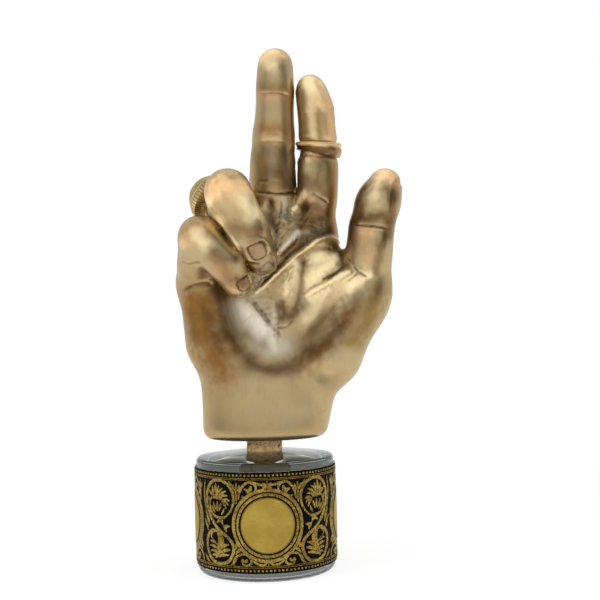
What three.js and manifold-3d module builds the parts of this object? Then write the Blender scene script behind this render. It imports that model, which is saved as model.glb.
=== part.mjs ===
// Hand sculpture that closes a round glass bottle. Millimetres, +Z up, the palm faces -Y.
// Origin: centre of the bottle's flat underside.
import * as THREE from 'three';
import Module from 'manifold-3d';
import { mergeVertices } from 'three/addons/utils/BufferGeometryUtils.js';

const wasm = await Module();
wasm.setup();
const { clamp, degToRad, lerp, radToDeg } = THREE.MathUtils;

// Clearances
const seatGap = 0.3;
const turnGap = 0.35;

// Glass bottle
const glassRadius = 35.6;
const rimHeight = 59.1;
const mouthHeight = 62;
const footRound = 3.6;
const rimRound = 2;
const shoulderSlope = 8;
const wallThickness = 4.2;
const floorThickness = 9;
const cavityRound = 5;
const cavityTop = 47.5;
const lipRound = 0.8;

// Cork, screw and insert
const corkRadius = 9.2;
const corkTaper = 0.5;
const corkInGlass = 16;
const corkInWrist = 4;
const corkChamfer = 1;
const screwRadius = 3;
const screwPoint = 1.6;
const screwInCork = 14;
const screwInWrist = 20;
const insertRadius = 5.2;
const insertLength = 18;

// Ornament band and medallions
const bandBottom = 4.9;
const bandTop = 54.8;
const bandThickness = 0.4;
const borderWidth = 2.9;
const borderLine = 0.8;
const reliefHeight = 0.4;
const seamWidth = 0.6;
const seamAngle = 135;
const bandTurn = 3;
const medallionHeight = 28.6;
const medallionRadius = 14;
const medallionThickness = 0.6;
const frameInner = 14.9;
const frameOuter = 18.4;

// Wrist: height of its underside over the table, section at the cut and at its top
const wristHeight = 68.3;
const wristWidth = 31.7;
const wristDepth = 22;
const wristTop = 26;
const wristTopWidth = 34.8;
const wristTopDepth = 17.5;
const wristShift = 0.4;
const wristTopShift = 3.4;
const wristRound = 4;
const wristFoot = 10;
const wristInset = 1.6;
const wristRunOut = 8;

// Bones in the hand's own frame, from its wrist cut: joint, then radius of the flesh round it
const bones = {
  middle: [[6.4, 0, 106, 12.4], [9, -3, 155.5, 10.6], [10.4, -5, 177.5, 9.2], [10.5, -5, 192, 9]],
  index: [[28.6, 0, 104, 10.6], [31.4, -3, 148.3, 10.2], [30.8, -5, 167.7, 8.9], [28.3, -6, 179, 7.9]],
  ring: [[-14.3, 0, 103, 11.8], [-13.9, -38, 124.5, 10.9], [-4.6, -33, 105, 9.6], [1.8, -23.5, 91.2, 8.4]],
  little: [[-33, -5, 82.6, 10.4], [-28.5, -29, 103.2, 10.4], [-15.8, -30, 90.2, 9], [-10.2, -24, 79, 7.2]],
  thumb: [[53.9, -8, 74, 12], [57.8, -11, 106.7, 11], [61, -12, 118.5, 10.6], [65.2, -11, 128.8, 8.4]],
};

// Fleshy pads on the phalanges: share along the bone, bulge to the palm side, radius
const phalanges = ['proximal', 'middle', 'distal'];
const pads = {
  middle: { proximal: [0.6, 2.6, 11.4], middle: [0.5, 2.2, 8.6], distal: [0.35, 2, 8.8] },
  index: { proximal: [0.6, 2.6, 10.5], middle: [0.5, 2, 8.1], distal: [0.4, 2, 8] },
  ring: {},
  little: {},
  thumb: { proximal: [0.55, 2.5, 11], distal: [0.1, 3, 10.6] },
};
const padShare = 0.32;

// Flesh of the palm: the two ends of each form, each with its radius
const palmForms = [
  [[12, 2, 22, 15], [27.6, 1, 101, 11]],
  [[4, 3, 22, 15], [6, 2, 106, 12.4]],
  [[-4, 3, 22, 15], [-14, 2, 101, 12]],
  [[-10, 2, 26, 15], [-26.5, 0, 78, 11.2]],
  [[35, -7, 44, 17.4], [49.2, -9, 67, 13]],
  [[49.2, -9, 67, 13], [53.2, -9, 76, 12]],
  [[-24.4, -5, 50, 14.8], [-27.8, -5, 70, 12.6]],
  [[-14, -5, 97, 9], [26, -5, 102, 9]],
  [[26, -1, 85, 9], [48, -5, 85, 8]],
  [[22, 1, 60, 10], [38, -2, 78, 9]],
];

// Shares of a finger's first bone: where the palm's flesh runs out, and where the finger's own begins
const rootShare = { middle: 0.42, index: 0.42, ring: 0.34, little: 0.3, thumb: 0.5 };
const rootInset = 0.5;
const fingerStart = 0.3;

// Softness of the blends
const palmBlend = 9;
const jointBlend = 3;

// Index ring and signet ring
const ringWidth = 7.6;
const ringThickness = 2.2;
const ringInner = 9.4;
const signetShare = 0.62;
const signetTurn = 49;
const signetInner = 10.4;
const signetThickness = 2;
const signetWidth = 6;
const bezelRadius = 12.2;
const bezelFoot = 7;
const bezelHeight = 4.6;
const bezelEdge = 2.4;
const sealRadius = 11;
const sealRise = 7.8;
const sealDepth = 1.6;

// Facets: sides of large and small rounds, grid steps of the skins
const roundSides = 40;
const smallSides = 24;
const palmStep = 5.4;
const fingerStep = 4.2;
const shortestEdge = 0.4;

// Materials
const goldCast = { color: 0xb8975a, roughness: 0.38, metalness: 0.75 };
const palePlate = { color: 0xa98f45, roughness: 0.5, metalness: 0.85 };
const blackGold = { color: 0x2a2418, roughness: 0.45, metalness: 0.6 };
const clearGlass = { color: 0xdfe8e4, roughness: 0.05, metalness: 0, transparent: true, opacity: 0.35 };
const corkTan = { color: 0xb98d57, roughness: 0.85, metalness: 0 };
const brass = { color: 0xb58f3c, roughness: 0.35, metalness: 1 };
const steel = { color: 0x9a9a98, roughness: 0.35, metalness: 1 };

// Solid from a closed geometry, put in place and turned right side out
function solid(geometry, place = new THREE.Matrix4()) {
  const bare = geometry.clone().applyMatrix4(place);
  bare.deleteAttribute('normal');
  bare.deleteAttribute('uv');
  const merged = mergeVertices(bare);
  const points = merged.attributes.position;
  const corner = [0, 1, 2].map(() => new THREE.Vector3());
  const triangles = [];
  let volume = 0;
  for (let i = 0; i < merged.index.count; i += 3) {
    const triangle = [0, 1, 2].map((j) => merged.index.getX(i + j));
    if (new Set(triangle).size < 3) continue;
    triangles.push(...triangle);
    triangle.forEach((vertex, j) => corner[j].fromBufferAttribute(points, vertex));
    volume += corner[0].dot(corner[1].cross(corner[2]));
  }
  if (volume < 0) triangles.reverse();
  const triVerts = new Uint32Array(triangles);
  const vertProperties = new Float32Array(points.array);
  return new wasm.Manifold(new wasm.Mesh({ numProp: 3, vertProperties, triVerts }));
}

function joined(first, ...others) {
  return others.reduce((sum, other) => sum.add(other), first);
}

function cut(body, ...tools) {
  return tools.reduce((rest, tool) => rest.subtract(tool), body);
}

function bareMesh(body) {
  const { vertProperties, triVerts } = body.getMesh();
  const geometry = new THREE.BufferGeometry();
  geometry.setAttribute('position', new THREE.BufferAttribute(vertProperties, 3));
  return geometry.setIndex(new THREE.BufferAttribute(triVerts, 1));
}

// The same surface without its shortest edges: their two ends become one where it stays closed
// and no face turns over, and folds that touch are drawn apart
function thinned(geometry, shortest) {
  const points = geometry.attributes.position;
  const at = (v) => new THREE.Vector3().fromBufferAttribute(points, v);
  const facing = (face) => new THREE.Triangle(...face.map(at)).getNormal(new THREE.Vector3());
  const faces = Array.from({ length: geometry.index.count / 3 }, (_, f) => {
    return [0, 1, 2].map((i) => geometry.index.getX(3 * f + i));
  });
  const around = Array.from({ length: points.count }, () => new Set());
  faces.forEach((face) => face.forEach((v) => around[v].add(face)));
  const neighbours = (v) => new Set([...around[v]].flat());
  for (const [edge, i] of faces.flatMap((face) => [0, 1, 2].map((corner) => [face, corner]))) {
    const kept = edge[i];
    const gone = edge[(i + 1) % 3];
    if (!around[kept].has(edge) || at(kept).distanceTo(at(gone)) > shortest) continue;
    const near = neighbours(gone);
    if ([...neighbours(kept)].filter((v) => near.has(v)).length > 4) continue;
    const staying = [...around[gone]].filter((face) => !face.includes(kept));
    const moved = staying.map((face) => face.map((v) => (v === gone ? kept : v)));
    if (staying.some((face, f) => facing(face).dot(facing(moved[f])) < 0)) continue;
    for (const face of around[gone]) {
      if (face.includes(kept)) face.forEach((v) => around[v].delete(face));
      else around[kept].add(face);
      face[face.indexOf(gone)] = kept;
    }
  }
  geometry.setIndex(faces.filter((face) => new Set(face).size === 3).flat());
  geometry.computeVertexNormals();
  const outward = geometry.attributes.normal;
  const taken = new Set();
  for (let v = 0; v < points.count; v += 1) {
    const key = at(v).toArray().map((n) => n.toFixed(2)).join();
    const inward = new THREE.Vector3().fromBufferAttribute(outward, v).multiplyScalar(-shortest);
    if (taken.has(key)) points.setXYZ(v, ...at(v).add(inward));
    taken.add(key);
  }
  return geometry;
}

function piece(name, geometry, look) {
  geometry.computeVertexNormals();
  const mesh = new THREE.Mesh(geometry, new THREE.MeshStandardMaterial(look));
  mesh.name = name;
  return mesh;
}

// Turned forms about Z from a profile of (radius, height)
function turned(profile, sides = roundSides) {
  const points = profile.map(([radius, height]) => new THREE.Vector2(radius, height));
  return new THREE.LatheGeometry(points, sides).rotateX(Math.PI / 2);
}

function tube(inner, outer, bottom, top, sides = roundSides) {
  return turned([[inner, bottom], [outer, bottom], [outer, top], [inner, top], [inner, bottom]], sides);
}

function rod(radius, bottom, top, sides = roundSides) {
  return turned([[0, bottom], [radius, bottom], [radius, top], [0, top]], sides);
}

// Profile points of a round between two angles in degrees
function arc(centreRadius, centreHeight, radius, from, to, steps = 4) {
  return Array.from({ length: steps + 1 }, (_, i) => {
    const angle = degToRad(lerp(from, to, i / steps));
    return [centreRadius + radius * Math.cos(angle), centreHeight + radius * Math.sin(angle)];
  });
}

// Bottle: heavy floor, low cone to the mouth, thick shoulder with the bore for the cork
function makeBottle() {
  const bore = corkRadius + seatGap;
  const hollow = glassRadius - wallThickness - cavityRound;
  return solid(turned([
    [0, 0],
    ...arc(glassRadius - footRound, footRound, footRound, -90, 0),
    ...arc(glassRadius - rimRound, rimHeight - rimRound, rimRound, 0, 90 - shoulderSlope),
    ...arc(bore + lipRound, mouthHeight - lipRound, lipRound, 90 - shoulderSlope, 180, 3),
    [bore, cavityTop],
    ...arc(hollow, cavityTop - cavityRound, cavityRound, 90, 0, 3),
    ...arc(hollow, floorThickness + cavityRound, cavityRound, 0, -90, 3),
    [0, floorThickness],
  ]));
}

// Radial place of a roundel: quarter 0 front, 1 right, 2 rear, 3 left
function roundelPlace(quarter) {
  const turn = new THREE.Matrix4().makeRotationZ(degToRad(bandTurn + 90 * quarter));
  const lean = new THREE.Matrix4().makeRotationX(Math.PI / 2);
  return new THREE.Matrix4().makeTranslation(0, 0, medallionHeight).multiply(turn).multiply(lean);
}

const bandInner = glassRadius + seatGap;
const bandGround = bandInner + bandThickness;
const bandRelief = bandGround + reliefHeight;
const quarters = ['front', 'right', 'rear', 'left'];

// Band: thin wall with raised border lines and four round frames, open at a seam
function makeBand() {
  const lines = [bandBottom + borderWidth, bandTop - borderWidth - borderLine];
  const steps = lines.flatMap((z) => [
    [bandGround, z],
    [bandRelief, z],
    [bandRelief, z + borderLine],
    [bandGround, z + borderLine],
  ]);
  const start = [bandInner, bandBottom];
  const end = [bandInner, bandTop];
  const wall = solid(turned([start, [bandGround, bandBottom], ...steps, [bandGround, bandTop], end, start]));
  const shell = solid(tube(bandInner, bandRelief, bandBottom, bandTop));
  const ring = tube(frameInner, frameOuter, 0, 2 * bandRelief, smallSides);
  const frames = quarters.map((_, quarter) => solid(ring, roundelPlace(quarter)).intersect(shell));
  const slit = new THREE.BoxGeometry(seamWidth, bandRelief, 2 * bandTop).translate(0, bandRelief, 0);
  const seam = solid(slit, new THREE.Matrix4().makeRotationZ(degToRad(bandTurn + seamAngle - 90)));
  return cut(joined(wall, ...frames), seam);
}

function makeMedallion(quarter) {
  const back = bandGround + seatGap;
  const shell = solid(tube(back, back + medallionThickness, bandBottom, bandTop));
  return solid(rod(medallionRadius, 0, 2 * back, smallSides), roundelPlace(quarter)).intersect(shell);
}

// Cork, from its lower end in the bore to its upper end in the wrist, with the hole for the screw
const corkLow = mouthHeight - corkInGlass;
const corkHigh = wristHeight + corkInWrist;
const screwLow = corkHigh - screwInCork;
const screwHigh = corkHigh + screwInWrist;

function makeCork() {
  const body = solid(turned([
    [0, corkLow],
    [corkRadius - corkTaper - corkChamfer, corkLow],
    [corkRadius - corkTaper, corkLow + corkChamfer],
    [corkRadius, mouthHeight],
    [corkRadius, corkHigh],
    [0, corkHigh],
  ]));
  return cut(body, solid(rod(screwRadius + seatGap, screwLow - seatGap, screwHigh, smallSides)));
}

function makeScrew() {
  return solid(turned([
    [0, screwLow],
    [screwRadius - screwPoint, screwLow],
    [screwRadius, screwLow + screwPoint],
    [screwRadius, screwHigh - screwPoint],
    [screwRadius - screwPoint, screwHigh],
    [0, screwHigh],
  ], smallSides));
}

// Insert in the wrist, in the hand's own frame
const insertLow = corkInWrist + turnGap;
const insertHigh = insertLow + insertLength;

function makeInsert() {
  return solid(tube(screwRadius + seatGap, insertRadius, insertLow, insertHigh, smallSides));
}

// Signed distance to a tapered capsule; soft union of two distances
function capsule(from, to) {
  const start = new THREE.Vector3(...from);
  const axis = new THREE.Vector3(...to).sub(start);
  const offset = new THREE.Vector3();
  return (p) => {
    offset.copy(p).sub(start);
    const share = clamp(offset.dot(axis) / axis.lengthSq(), 0, 1);
    return offset.addScaledVector(axis, -share).length() - lerp(from[3], to[3], share);
  };
}

function softMin(a, b, softness) {
  const overlap = Math.max(softness - Math.abs(a - b), 0) / softness;
  return Math.min(a, b) - (overlap * overlap * softness) / 4;
}

function blended(forms, softness) {
  return (p) => forms.reduce((sum, form) => softMin(sum, form(p), softness), Infinity);
}

// Pull a point onto the surface of a form, down its slope
function drawOnto(form, point, reach) {
  const slope = new THREE.Vector3();
  const axes = [0, 1, 2].map((i) => new THREE.Vector3().setComponent(i, reach));
  for (let pass = 0; pass < 3; pass += 1) {
    slope.set(...axes.map((axis) => form(point.clone().add(axis)) - form(point.clone().sub(axis))));
    slope.divideScalar(2 * reach);
    point.addScaledVector(slope, -form(point) / Math.max(slope.lengthSq(), reach));
  }
}

// Skin of a form: a grid over the given round ends, one vertex in each cell that the surface crosses
function skin(form, ends, step) {
  const low = [0, 1, 2].map((i) => Math.min(...ends.map((end) => end[i] - end[3])) - 2 * step);
  const high = [0, 1, 2].map((i) => Math.max(...ends.map((end) => end[i] + end[3])) + 2 * step);
  const [nx, ny, nz] = low.map((v, i) => Math.ceil((high[i] - v) / step) + 1);
  const node = (i, j, k) => new THREE.Vector3(i, j, k).multiplyScalar(step).add(new THREE.Vector3(...low));
  const at = (i, j, k) => i + nx * (j + ny * k);
  const value = new Float64Array(nx * ny * nz);
  const cells = (visit) => {
    for (let k = 0; k < nz - 1; k += 1) {
      for (let j = 0; j < ny - 1; j += 1) {
        for (let i = 0; i < nx - 1; i += 1) visit(i, j, k);
      }
    }
  };
  cells((i, j, k) => {
    value[at(i, j, k)] = form(node(i, j, k));
  });

  // Vertex of a cell: mean of the crossings on its edges, drawn onto the surface
  const positions = [];
  const known = new Map();
  const vertex = (i, j, k) => {
    const key = at(i, j, k);
    if (known.has(key)) return known.get(key);
    const mean = new THREE.Vector3();
    let crossings = 0;
    for (let edge = 0; edge < 12; edge += 1) {
      const along = Math.floor(edge / 4);
      const near = [0, 0, 0];
      near[(along + 1) % 3] = edge % 2;
      near[(along + 2) % 3] = Math.floor(edge / 2) % 2;
      const far = near.map((v, axis) => (axis === along ? 1 : v));
      const a = value[at(i + near[0], j + near[1], k + near[2])];
      const b = value[at(i + far[0], j + far[1], k + far[2])];
      if (a < 0 === b < 0) continue;
      near[along] = a / (a - b);
      mean.add(new THREE.Vector3(...near));
      crossings += 1;
    }
    mean.divideScalar(crossings);
    const point = node(i + mean.x, j + mean.y, k + mean.z);
    drawOnto(form, point, step / 20);
    known.set(key, positions.length / 3);
    positions.push(...point);
    return known.get(key);
  };

  // A face across each grid edge that the surface crosses
  const triangles = [];
  cells((i, j, k) => {
    const inside = value[at(i, j, k)] < 0;
    for (let along = 0; along < 3; along += 1) {
      const next = [i, j, k].map((v, axis) => (axis === along ? v + 1 : v));
      if (Math.min(i, j, k) < 1 || inside === value[at(...next)] < 0) continue;
      const quad = [[-1, -1], [0, -1], [0, 0], [-1, 0]].map(([v, w]) => {
        const cell = [i, j, k];
        cell[(along + 1) % 3] += v;
        cell[(along + 2) % 3] += w;
        return vertex(...cell);
      });
      if (!inside) quad.reverse();
      triangles.push(quad[0], quad[1], quad[2], quad[0], quad[2], quad[3]);
    }
  });
  const geometry = new THREE.BufferGeometry();
  geometry.setAttribute('position', new THREE.Float32BufferAttribute(positions, 3));
  return solid(geometry.setIndex(triangles));
}

// Wrist section at a height over the cut
function wristSection(height) {
  const share = clamp(height / wristTop, 0, 1);
  const width = lerp(wristWidth, wristTopWidth, share);
  const depth = lerp(wristDepth, wristTopDepth, share);
  return { width, depth, shift: lerp(wristShift, wristTopShift, share) };
}

// Oval column of the wrist, drawn in where the turned foot takes over
function wristForm(p) {
  const { width, depth, shift } = wristSection(p.z);
  const inset = wristInset * clamp(1 - p.z / (wristFoot - wristInset), 0, 1);
  const reach = Math.hypot((p.x - shift) / (width - inset), p.y / (depth - inset));
  return -softMin((1 - reach) * depth, wristTop + wristRunOut - p.z, wristRound);
}

// Foot of the wrist: the same oval section with a flat underside and a rounded edge
function makeWristFoot() {
  const foot = turned([
    [0, 0],
    ...arc(wristWidth - wristRound, wristRound, wristRound, -90, 0),
    [wristWidth, wristFoot - wristInset],
    [wristWidth - wristInset, wristFoot + wristInset],
    [0, wristFoot + wristInset],
  ]);
  const points = foot.attributes.position;
  for (let i = 0; i < points.count; i += 1) {
    const { width, depth, shift } = wristSection(points.getZ(i));
    points.setX(i, (points.getX(i) * width) / wristWidth + shift);
    points.setY(i, (points.getY(i) * depth) / wristWidth);
  }
  return solid(foot);
}

// Point and radius at a share of a finger's bone
function along(finger, bone, share) {
  return bones[finger][bone].map((v, i) => lerp(v, bones[finger][bone + 1][i], share));
}

function makePalm() {
  const roots = Object.entries(rootShare).map(([name, share]) => {
    return [bones[name][0], along(name, 0, share)].map(([x, y, z, radius]) => [x, y, z, radius - rootInset]);
  });
  const pairs = [...palmForms, ...roots];
  const flesh = blended([wristForm, ...pairs.map((ends) => capsule(...ends))], palmBlend);
  const form = (p) => -softMin(-flesh(p), p.z - wristInset, wristRound);
  return skin(form, [[wristTopShift, 0, wristTopWidth, wristTopWidth], ...pairs.flat()], palmStep);
}

function makeFinger(name) {
  const chain = [along(name, 0, fingerStart), ...bones[name].slice(1)];
  const pairs = [0, 1, 2].map((i) => [chain[i], chain[i + 1]]);
  for (const [phalanx, [share, bulge, radius]] of Object.entries(pads[name])) {
    pairs.push([-padShare / 2, padShare / 2].map((shift) => {
      const [x, y, z] = along(name, phalanges.indexOf(phalanx), share + shift);
      return [x, y - bulge, z, radius];
    }));
  }
  return skin(blended(pairs.map((ends) => capsule(...ends)), jointBlend), pairs.flat(), fingerStep);
}

// Frame of a ring on a bone: Z along the bone, X to the side that carries the bezel
function ringPlace(finger, bone, share, turn) {
  const [from, to] = [bones[finger][bone], bones[finger][bone + 1]].map((end) => new THREE.Vector3(...end));
  const axis = to.clone().sub(from).normalize();
  const outer = new THREE.Vector3(-1, 0, 0);
  const back = new THREE.Vector3().crossVectors(outer, axis).normalize();
  const face = back.multiplyScalar(Math.cos(degToRad(turn))).addScaledVector(outer, Math.sin(degToRad(turn)));
  const third = new THREE.Vector3().crossVectors(axis, face).normalize();
  face.crossVectors(third, axis);
  return new THREE.Matrix4().makeBasis(face, third, axis).setPosition(from.lerp(to, share));
}

const indexPlace = ringPlace('index', 0, 1, 0);
const signetPlace = ringPlace('ring', 0, signetShare, signetTurn);
const bezelPlace = signetPlace.clone().multiply(new THREE.Matrix4().makeRotationY(Math.PI / 2));
const bezelTop = signetInner + bezelHeight;

// Plain ring; a gap above zero gives the seat that it leaves in the finger
function makeIndexRing(gap = 0) {
  const half = ringWidth / 2 + gap;
  return solid(tube(ringInner - gap, ringInner + ringThickness + gap, -half, half), indexPlace);
}

// Signet: shank and cup-shaped bezel with the seat of its seal
function makeSignet(gap = 0) {
  const half = signetWidth / 2 + gap;
  const shank = solid(tube(signetInner - gap, signetInner + signetThickness + gap, -half, half), signetPlace);
  const cup = solid(turned([
    [0, 0],
    [bezelFoot + gap, 0],
    [bezelFoot + gap, signetInner],
    [bezelRadius + gap, bezelTop - bezelEdge],
    [bezelRadius + gap, bezelTop],
    [0, bezelTop],
  ], smallSides), bezelPlace);
  const finger = solid(rod(signetInner - gap, -2 * bezelRadius, 2 * bezelRadius), signetPlace);
  const sealLow = bezelTop - sealDepth - seatGap;
  const seat = solid(rod(sealRadius + seatGap, sealLow, 2 * bezelTop, smallSides), bezelPlace);
  return cut(joined(shank, cut(cup, finger)), seat);
}

function makeSeal() {
  const low = bezelTop - sealDepth;
  const crown = (sealRadius ** 2 + sealRise ** 2) / (2 * sealRise);
  const spread = radToDeg(Math.asin(sealRadius / crown));
  const dome = arc(0, bezelTop + sealRise - crown, crown, 90 - spread, 90);
  return solid(turned([[0, low], [sealRadius, low], ...dome], smallSides), bezelPlace);
}

// Hand: palm, wrist and fingers joined, with the seats of the rings, cork, insert and screw
function makeHand() {
  const flesh = joined(makePalm(), makeWristFoot(), ...Object.keys(bones).map(makeFinger));
  const corkSeat = rod(corkRadius + turnGap, -wristRound, insertLow);
  const insertSeat = rod(insertRadius + seatGap, 0, insertHigh + seatGap, smallSides);
  const screwSeat = rod(screwRadius + seatGap, 0, screwHigh - wristHeight + seatGap, smallSides);
  const seats = [corkSeat, insertSeat, screwSeat].map((seat) => solid(seat));
  return cut(flesh, ...seats, makeIndexRing(seatGap), makeSignet(seatGap));
}

const hand = new THREE.Group();
hand.position.z = wristHeight;
hand.add(
  piece('hand_casting', thinned(bareMesh(makeHand()), shortestEdge), goldCast),
  piece('wrist_insert', bareMesh(makeInsert()), brass),
  piece('index_ring', bareMesh(makeIndexRing()), goldCast),
  piece('signet_ring', bareMesh(makeSignet()), brass),
  piece('signet_seal', bareMesh(makeSeal()), brass),
);

const assembly = new THREE.Group();
assembly.add(
  piece('glass_bottle', bareMesh(makeBottle()), clearGlass),
  piece('ornament_band', bareMesh(makeBand()), blackGold),
  ...quarters.map((side, quarter) => piece(`medallion_${side}`, bareMesh(makeMedallion(quarter)), palePlate)),
  piece('cork_stopper', bareMesh(makeCork()), corkTan),
  piece('hanger_screw', bareMesh(makeScrew()), steel),
  hand,
);

export default assembly;
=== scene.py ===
import math

import bpy
import numpy as np
from mathutils import Matrix, Vector
from mathutils.bvhtree import BVHTree


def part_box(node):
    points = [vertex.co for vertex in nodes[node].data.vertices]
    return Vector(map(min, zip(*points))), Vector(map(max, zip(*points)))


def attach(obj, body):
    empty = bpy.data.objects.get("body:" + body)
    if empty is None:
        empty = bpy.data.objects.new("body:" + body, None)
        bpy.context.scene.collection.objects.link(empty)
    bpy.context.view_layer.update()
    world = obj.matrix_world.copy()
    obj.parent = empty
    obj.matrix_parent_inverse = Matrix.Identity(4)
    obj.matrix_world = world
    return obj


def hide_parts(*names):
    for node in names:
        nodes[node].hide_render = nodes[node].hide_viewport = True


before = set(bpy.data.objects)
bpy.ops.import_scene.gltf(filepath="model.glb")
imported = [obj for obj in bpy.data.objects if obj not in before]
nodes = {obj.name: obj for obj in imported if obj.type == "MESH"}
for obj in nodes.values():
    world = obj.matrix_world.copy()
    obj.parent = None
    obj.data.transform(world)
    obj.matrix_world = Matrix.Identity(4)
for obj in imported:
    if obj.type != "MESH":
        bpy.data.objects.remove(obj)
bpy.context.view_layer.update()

mm = 0.001
dice = np.random.default_rng(11)
weld = 1e-6  # metres; closer points become one
smoothAngle = 40  # degrees; flatter edges are shaded smooth


# Small helpers
def selectOnly(*things):
    bpy.ops.object.select_all(action="DESELECT")
    for thing in things:
        thing.select_set(True)
    bpy.context.view_layer.objects.active = things[0]


def applyModifier(thing, kind, **settings):
    selectOnly(thing)
    modifier = thing.modifiers.new(kind.lower(), kind)
    for key, value in settings.items():
        setattr(modifier, key, value)
    bpy.ops.object.modifier_apply(modifier=modifier.name)


def applyPlace(thing):
    selectOnly(thing)
    bpy.ops.object.transform_apply(location=True, rotation=True, scale=True)


def newObject(name, data):
    thing = bpy.data.objects.new(name, data)
    bpy.context.scene.collection.objects.link(thing)
    return thing


def addShape(operator, **settings):
    bpy.ops.object.select_all(action="DESELECT")
    operator(**settings)
    return bpy.context.object


def joinAll(things):
    selectOnly(*things)
    bpy.ops.object.join()
    return things[0]


def startEdit(thing):
    selectOnly(thing)
    bpy.ops.object.mode_set(mode="EDIT")
    bpy.ops.mesh.select_all(action="SELECT")


def copyOfNode(name):
    thing = newObject(name + "Copy", nodes[name].data.copy())
    thing.data.materials.clear()
    startEdit(thing)
    bpy.ops.mesh.remove_doubles(threshold=weld)
    bpy.ops.object.mode_set(mode="OBJECT")
    return thing


def finishPiece(thing, name, material, body, slot, *replaced):
    thing.name = name
    thing.data.name = name
    applyPlace(thing)
    bpy.ops.object.shade_smooth_by_angle(angle=math.radians(smoothAngle))
    thing.data.materials.clear()
    thing.data.materials.append(material)
    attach(thing, body)
    if replaced:
        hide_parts(*replaced)
    print("piece", name, len(thing.data.polygons), "faces")
    return thing


def readVectors(items, key, kind=float):
    flat = np.empty(len(items) * 3, kind)
    items.foreach_get(key, flat)
    return flat.reshape(-1, 3).astype(float)


def pointsOf(thing):
    return readVectors(thing.data.vertices, "co") / mm


def normalsOf(thing):
    return readVectors(thing.data.vertex_normals, "vector", np.float32)


def movePoints(thing, points):
    thing.data.vertices.foreach_set("co", (points * mm).ravel())
    thing.data.update()


def storeValues(thing, name, values):
    attribute = thing.data.attributes.new(name, "FLOAT", "POINT")
    attribute.data.foreach_set("value", np.asarray(values, np.float32))


def storeColours(thing, name, colours):
    attribute = thing.data.attributes.new(name, "FLOAT_COLOR", "POINT")
    flat = np.concatenate([colours, np.ones((len(colours), 1))], axis=1)
    attribute.data.foreach_set("color", flat.astype(np.float32).ravel())


def polar(points):
    return np.hypot(points[:, 0], points[:, 1]), np.arctan2(points[:, 1], points[:, 0])


def smoothStep(low, high, value):
    share = np.clip((value - low) / (high - low), 0, 1)
    return share * share * (3 - 2 * share)


def bell(value, width):
    return np.exp(-(value / width) ** 2)


# Shader maths: a socket that adds and multiplies like a number
class Wire:
    def __init__(self, tree, socket=None):
        self.tree = tree
        self.socket = socket

    def put(self, value, socket):
        if isinstance(value, Wire):
            self.tree.links.new(value.socket, socket)
        else:
            socket.default_value = value

    def feed(self, **values):
        shader = self.tree.nodes["Principled BSDF"]
        for key, value in values.items():
            self.put(value, shader.inputs[key.replace("_", " ")])

    def node(self, kind, inputs=None, settings=None, out=0):
        made = self.tree.nodes.new(kind)
        for key, value in (settings or {}).items():
            if key == "stops":
                setStops(made.color_ramp, value)
            else:
                setattr(made, key, value)
        for key, value in (inputs or {}).items():
            self.put(value, made.inputs[key])
        return Wire(self.tree, made.outputs[out])

    def math(self, operation, first, second=0.0):
        return self.node("ShaderNodeMath", {0: first, 1: second}, {"operation": operation})

    def __add__(self, other):
        return self.math("ADD", self, other)

    def __radd__(self, other):
        return self.math("ADD", other, self)

    def __sub__(self, other):
        return self.math("SUBTRACT", self, other)

    def __rsub__(self, other):
        return self.math("SUBTRACT", other, self)

    def __mul__(self, other):
        return self.math("MULTIPLY", self, other)

    def __rmul__(self, other):
        return self.math("MULTIPLY", other, self)

    def clamped(self, low, high):
        settings = {"interpolation_type": "SMOOTHSTEP"}
        return self.node("ShaderNodeMapRange", {0: self, 1: low, 2: high, 3: 0.0, 4: 1.0}, settings)

    def mix(self, first, second):
        settings = {"data_type": "RGBA"}
        return self.node("ShaderNodeMix", {0: self, 6: first, 7: second}, settings, out=2)

    def vector(self, operation, inputs, out=0):
        return self.node("ShaderNodeVectorMath", {0: self, **inputs}, {"operation": operation}, out)

    def axis(self, number):
        return self.node("ShaderNodeSeparateXYZ", {0: self}, out=number)

    def fromAxis(self):
        return self.vector("MULTIPLY", {1: (1, 1, 0)}).vector("LENGTH", {}, out=1)

    def stretched(self, *scale):
        return self.node("ShaderNodeMapping", {0: self, 3: scale})

    def noise(self, scale, detail, **more):
        return self.node("ShaderNodeTexNoise", {"Vector": self, "Scale": scale, "Detail": detail, **more})

    def bump(self, strength, distance):
        return self.node("ShaderNodeBump", {"Strength": strength, "Distance": distance, "Height": self})

    def stored(self, name, out=2):
        return self.node("ShaderNodeAttribute", settings={"attribute_name": name}, out=out)

    def ray(self, kind):
        return self.node("ShaderNodeLightPath", out=kind)


def setStops(ramp, stops):
    while len(ramp.elements) < len(stops):
        ramp.elements.new(1.0)
    for element, (place, colour) in zip(ramp.elements, stops):
        element.position = place
        element.color = colour


def tone(red, green, blue):
    # colour of the photograph's scale, 0 to 255, made linear
    def linear(value):
        share = value / 255
        return share / 12.92 if share <= 0.04045 else ((share + 0.055) / 1.055) ** 2.4
    return (linear(red), linear(green), linear(blue), 1.0)


def tones(colours):
    return [tone(*colour) for colour in colours]


def grey(level):
    return (level, level, level, 1)


def newMaterial(name):
    # the material, its wire and the wire of its own object's places
    material = bpy.data.materials.new(name)
    material.use_nodes = True
    wire = Wire(material.node_tree)
    return material, wire, wire.node("ShaderNodeTexCoord", out=3)


# Camera at the photograph's place, level, with the picture's slight roll
photoView = {
    "pixels": 600,
    "focal": 1249.0,  # in pixels
    "place": (0.02035, -0.650, 0.1391),
    "roll": 1.4,  # degrees, the picture's right side higher
    "sensor": 36,
    "clip": 0.01,
}


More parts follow.
